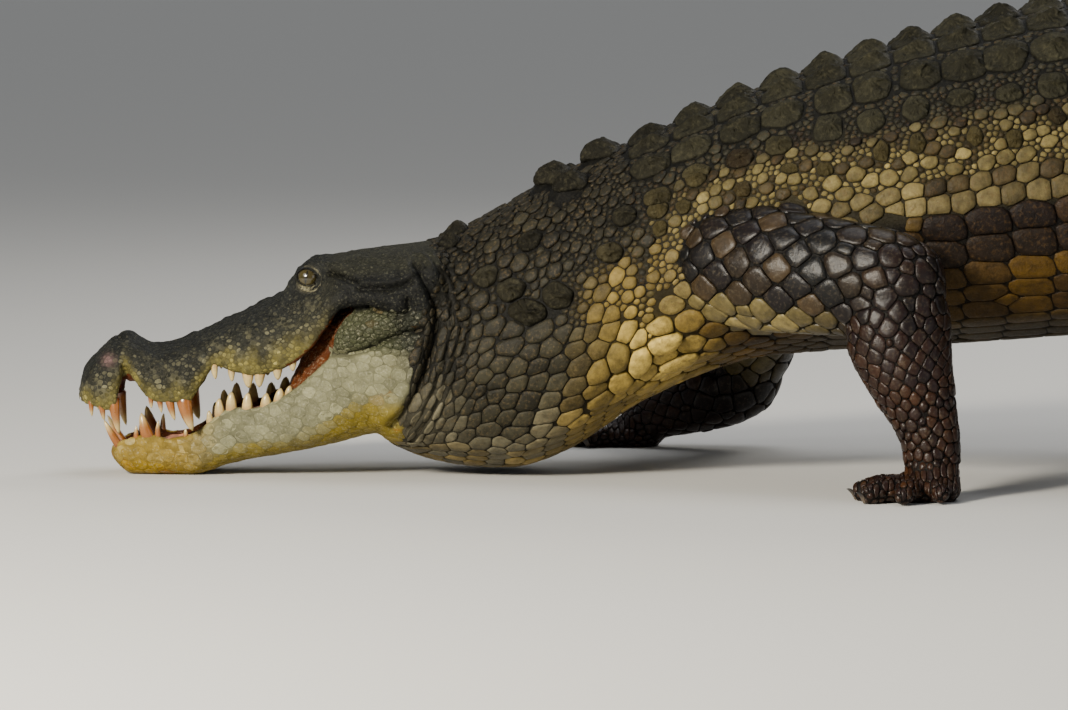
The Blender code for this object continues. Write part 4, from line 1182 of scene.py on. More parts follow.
paint = {
    "headTop": (0.016, 0.017, 0.016), "headSide": (0.03, 0.03, 0.023), "headFleck": (0.215, 0.2, 0.125),
    "lip": (0.27, 0.232, 0.08), "table": (0.026, 0.026, 0.019), "cheek": (0.012, 0.0125, 0.012),
    "muscle": (0.056, 0.06, 0.032), "jawPale": (0.29, 0.282, 0.172), "jawLow": (0.25, 0.185, 0.024),
    "jawFront": (0.34, 0.215, 0.024), "mouth": (0.12, 0.036, 0.001), "mouthShade": (0.075, 0.018, 0.004),
    "neckTop": (0.017, 0.0155, 0.01), "neckGrey": (0.027, 0.0245, 0.015), "neckLight": (0.15, 0.136, 0.092),
    "neckOchre": (0.29, 0.205, 0.062), "pale": (0.64, 0.48, 0.165), "back": (0.024, 0.0225, 0.014),
    "yellow": (0.255, 0.205, 0.088), "cream": (0.145, 0.116, 0.055), "brown": (0.015, 0.009, 0.005),
    "belly": (0.066, 0.037, 0.008), "limb": (0.006, 0.0036, 0.0026), "limbLight": (0.06, 0.04, 0.02),
    "tailTop": (0.04, 0.036, 0.025), "tailSide": (0.15, 0.13, 0.072), "stain": (0.34, 0.15, 0.03),
    "pink": (0.3, 0.19, 0.18), "hand": (0.03, 0.012, 0.005), "jawCream": (0.56, 0.45, 0.2),
    # darkness of the painted shade in the grooves, how rich all the colours are, and how dark
    "groove": 0.14, "richness": 1.16, "depth": 0.64, "shieldMost": 0.024,
}


# a colour for each place, tinted step by step
class Tone:
    def __init__(self, name, count):
        self.rgb = np.tile(np.array(paint[name]), (count, 1))

    def tint(self, name, share):
        self.blend(np.array(paint[name]), share)

    def blend(self, other, share):
        self.rgb = self.rgb + (other - self.rgb) * np.asarray(share)[:, None]


# colour of the hide at each place: each is how far single scales differ from their neighbours
def hideColour(at, chance, each):
    n = len(at.x)
    x, z, g, spots = at.x, at.z, at.girth, at.spots
    skull, lower = at.part == isHead, at.part == isJaw
    blotch = 0.5 + 0.5 * wavy(spots, 0.16, 3)
    speck = chance.random(n) if each > 0 else 0.5 + 0.5 * wavy(spots, 0.02, 8)
    cloudy = np.clip(0.62 * speck + 0.28 + 0.34 * wavy(spots, 0.011, 9), 0, 1)
    speck = np.where(skull & (each > 0), cloudy, speck)
    # trunk: dark back, yellow upper flank, cream, dark brown, ochre belly
    base = Tone("back", n)
    base.tint("yellow", ramp(g + 0.03 * (x < 1.0), 0.33, 0.42) * (0.45 + 0.55 * blotch))
    base.tint("cream", ramp(g, 0.445, 0.475) * 0.9)
    base.tint("brown", ramp(g, 0.512, 0.527) * ramp(x, 0.95, 1.08))
    base.tint("belly", ramp(g, 0.6, 0.625))
    base.tint("brown", 0.8 * ((speck > 0.78) & (g > 0.3) & (g < 0.47)) * (each > 0))
    base.tint("belly", 0.45 * ((speck < 0.14) & (g > 0.51) & (g < 0.6)) * (each > 0))
    # tail: dark above with bands, yellowish sides, pale below
    tone = Tone("tailTop", n)
    band = 0.5 + 0.5 * np.sin(x * 2 * math.pi / 0.235 + 1.5 * wavy(spots, 0.5, 21))
    tone.tint("tailSide", ramp(g, 0.16, 0.45) * (0.15 + 0.85 * ramp(band, 0.35, 0.75)))
    tone.tint("belly", 0.8 * ramp(g, 0.68, 0.85))
    base.blend(tone.rgb, ramp(x, 1.78, 1.98))
    # neck: olive grey, lighter below, ochre towards the chest
    tone = Tone("neckTop", n)
    tone.tint("neckGrey", ramp(g, 0.3, 0.45) * ramp(x + 0.12 * (z - 0.2), 0.47, 0.58))
    lowNeck = ramp(z + 0.05 * wavy(spots, 0.12, 5), 0.13, 0.05) * ramp(x, 0.72, 0.62)
    tone.tint("neckLight", 0.8 * lowNeck)
    chest = ramp(x - 0.25 * z + 0.03 * wavy(spots, 0.1, 7), 0.6, 0.7)
    tone.tint("neckOchre", 0.75 * chest * ramp(g, 0.38, 0.5))
    tone.tint("neckOchre", 0.6 * ramp(z, 0.06, 0.015) * (speck > 0.45))
    base.blend(tone.rgb, ramp(x, 0.86, 0.72))
    # painted shade: the trunk's underside, from girth 0.7 down, is darkened to the back's colour
    base.tint("back", 0.7 * ramp(g, 0.7, 0.78) * ramp(x, 0.9, 1.0))
    pit = np.exp(-(((x - 0.79) / 0.055) ** 2 + ((z - 0.168) / 0.048) ** 2)) * (np.abs(at.y) < 0.29)
    pit *= 0.7 + 0.3 * wavy(spots, 0.03, 31)
    base.tint("pale", np.clip(1.25 * pit, 0, 0.9) * (at.part < 7))
    # limbs: dark brown with lighter scales, paler inside
    tone = Tone("limb", n)
    tone.tint("limbLight", ramp(speck, 0.5, 1.0) * 0.6 * ramp(at.reach, 0.36, 0.16))
    tone.tint("hand", ramp(at.reach, 0.26, 0.42) * (0.4 + 0.6 * speck))
    tone.tint("yellow", 0.8 * (ramp(at.normals[:, 2], -0.25, -0.8) * ramp(at.reach, 0.3, 0.15)))
    base.blend(tone.rgb, (at.part >= 7).astype(float))
    # skull: dark above, flecked snout, yellow lips
    lip = curve(head["lip"], x)
    height = (z - lip) / np.maximum(curve(head["top"], x) - lip, 0.02)
    tone = Tone("headTop", n)
    tone.tint("headSide", ramp(height, 0.85, 0.45))
    tone.tint("headFleck", 0.75 * ramp(speck, 0.52, 1.0) * ramp(height, 1.0, 0.25) * ramp(x, 0.38, 0.3))
    glow = ramp(height + 0.15 * wavy(spots, 0.05, 11), 0.42, 0.08) * ramp(x, 0.36, 0.3)
    glow *= np.clip(0.8 + 0.35 * wavy(spots, 0.012, 12), 0, 1)
    tone.tint("lip", 0.8 * glow)
    tone.tint("table", ramp(x, 0.33, 0.36) * ramp(height, 0.4, 0.7))
    tone.tint("cheek", ramp(x, 0.33, 0.37) * ramp(height, 0.72, 0.55))
    base.rgb = np.where(skull[:, None], tone.rgb, base.rgb)
    # lower jaw: pale plates, yellow below and in front, greenish muscle
    bottom = curve(jaw["bottom"], x)
    level = (z - bottom) / np.maximum(curve(jaw["lip"], x) - bottom, 0.02)
    tone = Tone("jawPale", n)
    tone.rgb *= (0.86 + 0.22 * wavy(spots, 0.035, 13))[:, None]
    tone.tint("jawLow", 0.9 * ramp(level + 0.08 * wavy(spots, 0.06, 15), 0.36, 0.12))
    tone.tint("jawFront", 0.75 * ramp(x, 0.21, 0.13))
    cream = ramp(wavy(spots, 0.022, 14), 0.1, 0.9)
    tone.tint("jawCream", 0.7 * ramp(x, 0.19, 0.13) * cream * ramp(level, 0.15, 0.5))
    tone.tint("muscle", ramp(z, 0.168, 0.182) * ramp(x, 0.32, 0.345))
    tone.tint("cheek", 0.7 * ramp(x + 0.25 * (z - 0.1), 0.445, 0.478))
    # painted shade: the jaw's underside is darkened where it comes near the floor
    tone.tint("neckTop", 0.9 * ramp(z, 0.012, 0.0) * ramp(x, 0.2, 0.26))
    base.rgb = np.where(lower[:, None], tone.rgb, base.rgb)
    # mouth
    facing, out = at.normals[:, 2], np.abs(at.y)
    roof = (out < 0.86 * curve(head["width"], x)) & (x < 0.38) & (x > 0.02) & skull
    roof &= (facing < 0.1) & (z < curve(head["palate"], x) + 0.012)
    roof |= skull & (x > 0.285) & (x < 0.352) & (z < lip + 0.004) & (facing < 0.2)
    bed = (out < 0.875 * curve(jaw["width"], x)) & (x < 0.38) & lower & (facing > -0.1)
    bed &= (z > curve(jaw["floor"], x) - 0.012) | ((x > 0.285) & (z > curve(jaw["lip"], x) - 0.001))
    flesh = (roof | bed).astype(float)
    base.tint("mouth", flesh)
    # painted shade: the inside of the mouth is darker towards the front, deep between the jaws
    base.tint("mouthShade", flesh * ramp(x, 0.26, 0.08) * 0.7)
    # stains on the jaw, scuff at its rear and a pink spot on the nose
    base.tint("stain", 0.7 * (ramp(wavy(spots, 0.045, 71), 0.35, 0.9) * lower * ramp(x, 0.2, 0.13)))
    scuff = ramp(wavy(spots, 0.03, 72), 0.45, 0.95) * lower * np.exp(-(((x - 0.445) / 0.03) ** 2))
    base.tint("stain", 0.6 * scuff)
    nose = np.exp(-(((x - 0.046) / 0.008) ** 2 + ((z - 0.157) / 0.007) ** 2))
    base.tint("pink", 0.75 * nose * (at.y < 0))
    rgb = base.rgb
    if each > 0:
        calm = np.where(lower, 0.35, np.where(skull, 0.9, 1.2))
        rgb = rgb * np.exp(each * calm * chance.normal(size=n))[:, None]
    grey = rgb.mean(axis=1, keepdims=True)
    return np.clip((grey + (rgb - grey) * paint["richness"]) * paint["depth"], 0.003, 0.9)


profiles = {  # radius and height of each ring, from the sunk rim inwards
    "granule": (8, ((1.0, -0.35), (0.84, 0.7), (0.0, 1.0))),
    "plain": (16, ((1.0, -0.2), (0.98, 0.42), (0.915, 0.83), (0.55, 1.0), (0.0, 1.02))),
    "scute": (44, ((1.0, -0.25), (0.975, 0.25), (0.92, 0.55), (0.84, 0.74), (0.74, 0.85), (0.63, 0.92), (0.52, 0.96),
                   (0.41, 0.99), (0.3, 1.01), (0.18, 1.03), (0.0, 1.03))),
}


# one joined mesh of the picked scales
def tiles(seeds, pick, style, name, colours, gap=0.0003):
    sides, rings = profiles[style]
    rounds, heavy = len(rings) - 1, style == "scute"
    rim, ways = outlines(seeds, sides)
    rim = rim[pick][:, :, None] * ways[pick]
    data = picked(seeds, pick)
    n = len(rim)
    centre, up = data["spots"][:, None], data["normals"][:, None]
    size = np.linalg.norm(rim, axis=2, keepdims=True)
    rim = rim * np.maximum(1 - gap / np.maximum(size, 1e-6), 0.3)

    def onHide(spots):
        return [found.reshape(-1, sides, 3) for found in hideSurface.nearest(spots.reshape(-1, 3))[:2]]

    places, normals = onHide(centre + rim)
    jump = np.linalg.norm(places - centre - rim, axis=2, keepdims=True)
    short = np.clip((1.6 if heavy else 1.25) - jump / np.maximum(size, 1e-6), 0.35, 1)
    folded = (short < 1).any(axis=(1, 2))
    if folded.any():  # scales at a fold stop short of it
        places[folded], normals[folded] = onHide(centre[folded] + (rim * short)[folded])
    off = places - centre
    drop = dot(off, up, True)
    flat = off - drop * up
    along = data["along"][:, None]
    across = np.cross(data["normals"], data["along"])[:, None]
    long, wide, tallest, keel = (data[key][:, None] for key in ("long", "wide", "height", "keel"))
    chance = np.random.default_rng(17)
    layers, marks = [], []
    for radius, height in rings[:-1]:
        local = flat * radius
        px, py = dot(local, along) / long, dot(local, across) / wide
        ridge = np.exp(-np.abs(py / 0.15) ** 1.4) * ramp(px, -0.95, 0.45) * ramp(px, 1.0, 0.66)
        tall = tallest * height * (1 + (0.06 * chance.normal(size=px.shape) if radius < 0.99 else 0))
        tall = tall + keel * ridge * (height > 0) * min(1.0, 1.35 * (1 - radius) + 0.15)
        if heavy:
            drift = wavy((centre + local).reshape(-1, 3), 0.03, 81).reshape(px.shape)
            turnAt = np.arctan2(py, px)
            spokes = np.sin(turnAt * 13 + 2.6 * drift) + 0.6 * np.sin(turnAt * 23 + 4.0 * drift)
            inner = 4 * radius * (1 - radius) * (radius < 0.97)
            folds = np.sin(px * 17 + 2.2 * drift) * np.exp(-((np.abs(py) - 0.35) / 0.35) ** 2)
            rough = 0.00095 * spokes * inner + 0.0012 * drift * (radius < 0.97) + 0.00075 * folds * inner
            tall = tall + rough * np.minimum(long / 0.025, 1)
        way = unit(up * (1 - radius) + normals * radius)
        layers.append(centre + local + radius**2 * drop * up + way * tall[:, :, None])
        # the mark falls to 0 at the rim; it sets the painted shade and dirt that the rimShade group puts on each
        # scale's rim
        marks.append(np.full((n, sides), min(1.0, (1 - radius) * (7.0 if heavy else 15.0))))
    peak = tallest * rings[-1][1] + 0.74 * keel
    points = np.concatenate(layers + [centre + up * peak[:, :, None]], axis=1)
    points[:, :, 2] = np.maximum(points[:, :, 2], hide["floor"])
    mark = np.concatenate(marks + [np.ones((n, 1))], axis=1)
    per = points.shape[1]
    k = np.arange(sides)
    j = (k + 1) % sides
    quads = np.concatenate([ring * sides + np.stack([k, j, sides + j, sides + k], 1) for ring in range(rounds - 1)])
    tris = np.stack([(rounds - 1) * sides + k, (rounds - 1) * sides + j, 0 * k + per - 1], 1)
    base = (np.arange(n) * per)[:, None, None]
    mesh = bpy.data.meshes.new(name)
    mesh.from_pydata((points.reshape(-1, 3) + home).tolist(), [],
                     (base + quads).reshape(-1, 4).tolist() + (base + tris).reshape(-1, 3).tolist())
    mesh.shade_smooth()
    addColour(mesh, "coat", np.concatenate([np.repeat(colours[pick], per, axis=0), mark.reshape(-1, 1)], axis=1))
    addPatches(mesh, data, points)
    print(f"{name}: {n} scales, {(len(quads) * 2 + len(tris)) * n} triangles")
    return newObject(name, mesh)


# each scale gets a small patch of the piece's map, at its root's place on the unrolled hide
def addPatches(mesh, data, points):
    at = Places(data["spots"], data["normals"])
    u = np.where(at.part >= 7, at.reach + 0.1 * at.foot * at.x + 1.2 * (at.x > 1.3), at.x)
    v = np.where(at.part >= 7, at.around, at.side * at.girth)
    root = 0.01 + 0.98 * np.stack([(way - way.min()) / max(np.ptp(way), 1e-6) for way in (u, v)], 1)
    off = points - data["spots"][:, None]
    across = np.cross(data["normals"], data["along"])[:, None]
    reach = np.maximum(data["long"], data["wide"])[:, None, None]
    local = np.stack([dot(off, data["along"][:, None]), dot(off, across)], -1) / reach
    patches = root[:, None] + 0.0012 * np.clip(local, -1.2, 1.2)
    index = np.empty(len(mesh.loops), np.int32)
    mesh.loops.foreach_get("vertex_index", index)
    layer = mesh.uv_layers.new(name="OFBake")
    layer.data.foreach_set("uv", patches.reshape(-1, 2)[index].astype(np.float32).ravel())


def nodeGroup(name, inputs, outputs):
    group = bpy.data.node_groups.new(name, "ShaderNodeTree")
    for label, kind, value in inputs:
        socket = group.interface.new_socket(label, in_out="INPUT", socket_type="NodeSocket" + kind)
        if value is not None:
            socket.default_value = value
    for label, kind in outputs:
        group.interface.new_socket(label, in_out="OUTPUT", socket_type="NodeSocket" + kind)
    return group, group.nodes.new("NodeGroupInput").outputs, group.nodes.new("NodeGroupOutput").inputs


# a new node: its settings are made first, because a group has no sockets before
def add(tree, kind, values=None, **settings):
    node = tree.nodes.new("ShaderNode" + kind)
    for key, value in settings.items():
        setattr(node, key, value)
    for key, value in (values or {}).items():
        if isinstance(value, bpy.types.NodeSocket):
            tree.links.new(value, node.inputs[key])
        else:
            node.inputs[key].default_value = value
    return node


# uneven colour: broad cloudy tone and fine dark or light flecks
def makeMottle():
    group, inside, out = nodeGroup(
        "mottle",
        (("Place", "Vector", None), ("Colour", "Color", None), ("Fleck Colour", "Color", (0.3, 0.27, 0.15, 1)),
         ("Cloud Size", "Float", 30.0), ("Cloud", "Float", 0.35), ("Fleck Size", "Float", 260.0),
         ("Fleck", "Float", 0.3)), (("Colour", "Color"),))
    cloud = add(group, "TexNoise", {"Vector": inside["Place"], "Scale": inside["Cloud Size"], "Detail": 5.0,
                                    "Roughness": 0.65})
    tone = add(group, "MapRange", {"Value": cloud.outputs["Fac"], "From Min": 0.3, "From Max": 0.7, "To Min": -1.0})
    amount = add(group, "Math", {0: tone.outputs[0], 1: inside["Cloud"], 2: 1.0}, operation="MULTIPLY_ADD")
    lit = add(group, "VectorMath", {0: inside["Colour"], "Scale": amount.outputs[0]}, operation="SCALE")
    grain = add(group, "TexNoise", {"Vector": inside["Place"], "Scale": inside["Fleck Size"], "Detail": 3.0,
                                    "Roughness": 0.7})
    mask = add(group, "MapRange", {"Value": grain.outputs["Fac"], "From Min": 0.52, "From Max": 0.68})
    share = add(group, "Math", {0: mask.outputs[0], 1: inside["Fleck"]}, operation="MULTIPLY")
    mix = add(group, "Mix", {0: share.outputs[0], 6: lit.outputs[0], 7: inside["Fleck Colour"]}, data_type="RGBA")
    group.links.new(mix.outputs[2], out["Colour"])
    return group


# darkens a scale towards its rim, where dirt and shade gather
def makeRim():
    group, inside, out = nodeGroup(
        "rimShade", (("Colour", "Color", None), ("Rim", "Float", 1.0), ("Groove", "Float", 0.2),
                     ("Width", "Float", 0.6)), (("Colour", "Color"),))
    mask = add(group, "MapRange", {"Value": inside["Rim"], "From Min": 0.0, "From Max": inside["Width"],
                                   "To Min": inside["Groove"]}, interpolation_type="SMOOTHSTEP")
    lit = add(group, "VectorMath", {0: inside["Colour"], "Scale": mask.outputs[0]}, operation="SCALE")
    group.links.new(lit.outputs[0], out["Colour"])
    return group


# height of the fine surface: pores, wrinkles and cracks
def makeGrain():
    group, inside, out = nodeGroup(
        "hideGrain",
        (("Place", "Vector", None), ("Pore Size", "Float", 420.0), ("Pores", "Float", 0.5),
         ("Wrinkle Size", "Float", 90.0), ("Wrinkles", "Float", 0.5), ("Crack Size", "Float", 160.0),
         ("Cracks", "Float", 0.3)), (("Height", "Float"),))
    place = inside["Place"]
    pores = add(group, "TexNoise", {"Vector": place, "Scale": inside["Pore Size"], "Detail": 4.0, "Roughness": 0.65})
    folds = add(group, "TexNoise", {"Vector": place, "Scale": inside["Wrinkle Size"], "Detail": 3.0,
                                    "Distortion": 0.6}, noise_type="RIDGED_MULTIFRACTAL")
    cells = add(group, "TexVoronoi", {"Vector": place, "Scale": inside["Crack Size"]}, feature="DISTANCE_TO_EDGE")
    crack = add(group, "MapRange", {"Value": cells.outputs["Distance"], "From Min": 0.0, "From Max": 0.07},
                interpolation_type="SMOOTHSTEP")
    total = 0.0
    for texture, weight in ((pores.outputs["Fac"], "Pores"), (folds.outputs["Fac"], "Wrinkles"),
                            (crack.outputs[0], "Cracks")):
        total = add(group, "Math", {0: texture, 1: inside[weight], 2: total}, operation="MULTIPLY_ADD").outputs[0]
    group.links.new(total, out["Height"])
    return group


mottleGroup, rimGroup, grainGroup = makeMottle(), makeRim(), makeGrain()

finishes = {
    # gloss, how dark the rims are, cloud and its size, flecks, their size and colour,
    # then pores, wrinkles and cracks each with a size, depth of the bump, least and most roughness
    "hideSkin": (0.15, 1.0, 0.3, 40, 0.04, 300, (0.25, 0.23, 0.15),
                 0.5, 500, 0.35, 110, 0.25, 190, 0.0011, (0.42, 0.7)),
    "headHide": (0.09, 0.42, 0.55, 55, 0.6, 330, (0.095, 0.092, 0.062),
                 0.9, 480, 0.5, 130, 0.2, 240, 0.0013, (0.38, 0.66)),
    "lidHide": (0.14, 1.0, 0.35, 90, 0.4, 340, (0.075, 0.07, 0.045),
                0.8, 500, 0.4, 160, 1.0, 330, 0.0011, (0.34, 0.6)),
    "jawHide": (0.16, 0.44, 0.3, 60, 0.35, 300, (0.36, 0.34, 0.24),
                0.45, 420, 0.3, 120, 0.35, 150, 0.0008, (0.34, 0.58)),
    "neckHide": (0.15, 0.15, 0.5, 70, 0.24, 230, (0.19, 0.13, 0.055),
                 0.5, 420, 0.6, 120, 0.1, 200, 0.0012, (0.3, 0.55)),
    "backHide": (0.11, 0.22, 0.45, 45, 0.16, 150, (0.15, 0.135, 0.075),
                 0.5, 380, 1.5, 75, 0.0, 140, 0.0042, (0.38, 0.66)),
    "flankHide": (0.16, 0.12, 0.5, 75, 0.42, 190, (0.085, 0.046, 0.014),
                  0.5, 420, 0.65, 120, 0.15, 190, 0.0013, (0.28, 0.54)),
    "limbHide": (0.25, 0.16, 0.5, 70, 0.16, 220, (0.2, 0.16, 0.1),
                 0.4, 420, 0.45, 100, 0.0, 180, 0.001, (0.17, 0.36)),
}


# the piece's own colours, mottled and shaded towards the rims, with a fine bump
def makeFinish(name, shine, groove, cloud, cloudSize, fleck, fleckSize, fleckColour, pores, poreSize, wrinkles,
               wrinkleSize, cracks, crackSize, bump, rough, span=(0.3, 1.4), wet=0.0):
    made = bpy.data.materials.new(name)
    made.use_nodes = True
    tree = made.node_tree
    shader = tree.nodes["Principled BSDF"].inputs
    place = add(tree, "TexCoord").outputs["Object"]
    coat = add(tree, "Attribute", attribute_name="coat").outputs
    mottle = add(tree, "Group", node_tree=mottleGroup, values={
        "Place": place, "Colour": coat["Color"], "Fleck Colour": (*fleckColour, 1), "Cloud Size": cloudSize,
        "Cloud": cloud, "Fleck Size": fleckSize, "Fleck": fleck})
    rim = add(tree, "Group", node_tree=rimGroup, values={
        "Colour": mottle.outputs["Colour"], "Rim": coat["Alpha"], "Groove": groove})
    grain = add(tree, "Group", node_tree=grainGroup, values={
        "Place": place, "Pore Size": poreSize, "Pores": pores, "Wrinkle Size": wrinkleSize, "Wrinkles": wrinkles,
        "Crack Size": crackSize, "Cracks": cracks})
    height = grain.outputs["Height"]
    roughNode = add(tree, "MapRange", {"Value": height, "From Min": span[0], "From Max": span[1], "To Min": rough[1],
                                       "To Max": rough[0]})
    bumpNode = add(tree, "Bump", {"Height": height, "Distance": bump, "Strength": 1.0})
    tree.links.new(rim.outputs["Colour"], shader["Base Color"])
    tree.links.new(roughNode.outputs[0], shader["Roughness"])
    tree.links.new(bumpNode.outputs[0], shader["Normal"])
    shader["Specular IOR Level"].default_value = shine
    shader["Coat Weight"].default_value = wet
    shader["Coat Roughness"].default_value = 0.15 if wet else 0.03
    return made


# smooth finish of the small pieces
def smallFinish(name, rough, grain, bump, wet):
    return makeFinish(name, 0.5, 1.0, 0.18, 120, 0.0, 600, (0.3, 0.27, 0.15), 0.5, grain, 0.5, 0.4 * grain, 0.1,
                      0.3 * grain, bump, (rough * 0.8, rough * 1.5), (0.2, 1.1), wet)


skins = {name: makeFinish(name, *values) for name, values in finishes.items()}

seedPlaces = Places(seeds["spots"], seeds["normals"])
coatColour = hideColour(seedPlaces, np.random.default_rng(23), 0.2)
bright = coatColour.mean(axis=1, keepdims=True)
scute = seeds["kind"] == 1
coatColour *= np.where(scute[:, None], np.minimum(1, paint["shieldMost"] / bright), 1)
tiny = np.maximum(seeds["long"], seeds["wide"]) < 0.0065
leftSide = seeds["spots"][:, 1] < 0
coatGaps = {"granule": 0.0005, "plain": 0.0003, "scute": 0.0008}


def addCoat(name, mask, style, finish, gap=None):
    if mask.any():
        made = tiles(seeds, mask, style, name, coatColour, gap or coatGaps[style])
        made.data.materials.append(skins[finish])
        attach(made, "root")


def addPair(scales, grains, mask, finish):
    addCoat(scales, mask & ~scute & ~tiny, "plain", finish)
    addCoat(grains, mask & ~scute & tiny, "granule", finish)


part = seedPlaces.part
addCoat("headGrains", part == isHead, "granule", "headHide", 0.0004)
addCoat("jawScales", part == isJaw, "plain", "jawHide")
addPair("neckScales", "neckGrains", part == isNeck, "neckHide")
addCoat("backScutes", scute, "scute", "backHide")
for side, mine in (("Left", leftSide), ("Right", ~leftSide)):
    addPair("flankScales" + side, "flankGrains" + side, (part == isTrunk) & mine, "flankHide")
    addPair("limbScales" + side, "limbGrains" + side, (part >= 7) & mine, "limbHide")
tailPart = (part > isTrunk) & (part < 7) & ~scute & ~tiny
addCoat("tailScales", tailPart, "plain", "backHide", 0.0009)
print("coat made")

hidePlaces = Places(hideSurface.points, hideSurface.normals)
hideTone = hideColour(hidePlaces, np.random.default_rng(29), 0.0)
# painted shade: the hide that shows in the grooves between scales is darkened, most on the body, less behind the jaw,
# least on the head and jaw
behindJaw = 0.22 * ramp(hidePlaces.x + 0.12 * (hidePlaces.z - 0.2), 0.56, 0.5)
shade = np.where(hidePlaces.part == isHead, 0.7, paint["groove"] + behindJaw)
hideTone *= np.where(hidePlaces.part == isJaw, 0.8, shade)[:, None]
# painted shade in the head's creases: the hide darkens along the ear slit, the cleft, the folds and the rear groove
creaseShade = np.zeros(len(hideTone))
for name, strength in (("earSlit", 0.95), ("underTable", 0.6), ("cleft", 0.9), ("fold", 0.7), ("crease", 0.75),
                       ("rear", 0.6)):
    reach = lineGap(hidePlaces.x, hidePlaces.z, strokes[name][0])
    creaseShade = np.maximum(creaseShade, strength * np.exp(-((reach / 0.0035) ** 2)))
hideTone *= 1 - (creaseShade * (np.abs(hidePlaces.y) > 0.05))[:, None]
addColour(hideObject.data, "coat", np.concatenate([hideTone, np.ones((len(hideTone), 1))], axis=1))
hideObject.data.materials.clear()
hideObject.data.materials.append(skins["hideSkin"])
setPoints(hideObject.data, meshArrays(hideObject.data) + home)
hideObject.data.shade_smooth()
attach(hideObject, "root")
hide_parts(*fleshNames)
print("hide coloured")

# a closed, curved cone from a sunk root to a tip: long and wide are its half widths at the root
def horn(root, tip, bend, long, wide, across, rows=9, columns=12, power=0.62):
    root, tip, bend, across = (np.array(value, float) for value in (root, tip, bend, across))
    line = tip - root
    other = unit(np.cross(unit(line), across))
    across = np.cross(other, unit(line))
    sunk = 0.12

    def place(u, v):
        t = np.clip((u - sunk) / (1 - sunk), 0, 1)
        swell = np.where(u < sunk, np.sqrt(np.clip(u / sunk, 0, 1)), np.clip(1 - t**1.5, 0, 1) ** power)
        middle = root + line * t[:, None] + bend * (4 * t * (1 - t))[:, None]
        turn = 2 * math.pi * v
        out = across * (long * np.cos(turn) * swell)[:, None] + other * (wide * np.sin(turn) * swell)[:, None]
        return middle + out

    return gridSurface(rows, columns, place), lambda points: np.clip((points - root) @ line / (line @ line), 0, 1)


# joins horns or other small shapes in one piece: colours gives each point its colour
def joined(name, made, colours, finish):
    whole = bmesh.new()
    paints = []
    for k, (bm, along) in enumerate(made):
        points = np.array([vert.co for vert in bm.verts])
        paints.append(colours(k, along(points), points))
        whole.from_mesh(meshOf(bm, "part"))
    mesh = meshOf(whole, name)
    addColour(mesh, "coat", np.concatenate(paints))
    setPoints(mesh, meshArrays(mesh) + home)
    mesh.shade_smooth()
    mesh.materials.append(finish)
    obj = newObject(name, mesh)
    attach(obj, "root")
    print(f"{name}: {len(made)} shapes, {len(mesh.polygons)} faces")
    return obj


# a colour that goes from one to the other as the share grows
def between(first, last, share):
    first, last = np.array(first), np.array(last)
    return first + (last - first) * share[:, None]


teeth = {
    "ivory": (0.52, 0.39, 0.15), "amber": (0.225, 0.062, 0.001), "stain": (0.085, 0.015, 0.001),
    "inset": (0.905, 0.885), "front": 0.17,
    **metres({  # x, length, radius at the root, lean forward, in mm
        "upper": ((22, 14, 4, 1), (37, 15, 4.8, 2), (55, 40, 7.5, 4), (104, 12, 4.2, 1), (116, 14, 4.5, 2),
                  (131, 24, 6.2, 6), (152, 38, 10.5, 9), (190, 17, 4.5, 1), (214, 15, 4.5, 1), (236, 18, 6.8, 0),
                  (253, 17, 6.4, 0), (276, 14, 6, 0), (296, 10, 5, 0)),
        "lower": ((54, 30, 6, -16), (83, 14, 4.2, 0), (97, 29, 9, -8), (112, 20, 4.5, 0), (150, 10, 4.2, 0),
                  (184, 13, 4.5, -1), (197, 20, 6.2, -2), (213, 21, 6.6, -1), (235, 21, 6.6, 0), (260, 15, 6.8, 0),
                  (278, 14, 6.6, 1), (291, 10, 5.5, 1)),
        "lone": (86, 26, 4.8, 4),  # hangs from the palate, right side only
    }),
}


def makeTeeth():
    chance = np.random.default_rng(31)
    made, hues = [], []
    for jawName, table, up in (("upper", head, -1), ("lower", jaw, 1)):
        for x, length, radius, lean in teeth[jawName]:
            for side in (-1, 1):
                y = side * teeth["inset"][up > 0] * float(curve(table["width"], x))
                lip = float(curve(table["lip"], x))
                root = (x - 0.4 * lean, 0.97 * y, lip - up * 0.009)
                tip = (x + lean + 0.001 * chance.normal(), 1.02 * y, lip + up * length)
                bend = (-0.04 * length, side * 0.06 * length, 0)
                front = x < teeth["front"]
                wide, power = (radius, 0.64) if front else (radius * 1.22, 0.52)
                made.append(horn(root, tip, bend, 1.06 * wide, 0.9 * wide, (1, 0, 0), 12, 14, power))
                hues.append((chance.uniform(0.85, 1.1), front))
    x, length, radius, lean = teeth["lone"]
    palate, y = float(curve(head["palate"], x)), 0.5 * float(curve(head["width"], x))
    made.append(horn((x, y, palate + 0.006), (x + lean, y, palate - length), (0.002, 0, 0), radius, radius,
                     (1, 0, 0)))
    hues.append((1.0, True))

    def paintTooth(k, t, points):
        tone, front = hues[k]
        reach, most = (0.55, 0.95) if front else (0.26, 0.55)
        share = ramp(t + 0.06 * wavy(points, 0.006, 3), reach + 0.38, reach - 0.1) * most
        colour = between(np.array(teeth["ivory"]) * tone, teeth["amber"], share)
        return between(colour, teeth["stain"], ramp(t, 0.2, 0.02))

    joined("teeth", made, paintTooth, smallFinish("toothEnamel", 0.22, 700, 0.0002, 0.6))


claws = {"base": (0.1, 0.075, 0.05), "tip": (0.02, 0.016, 0.013), "droop": 0.0035}


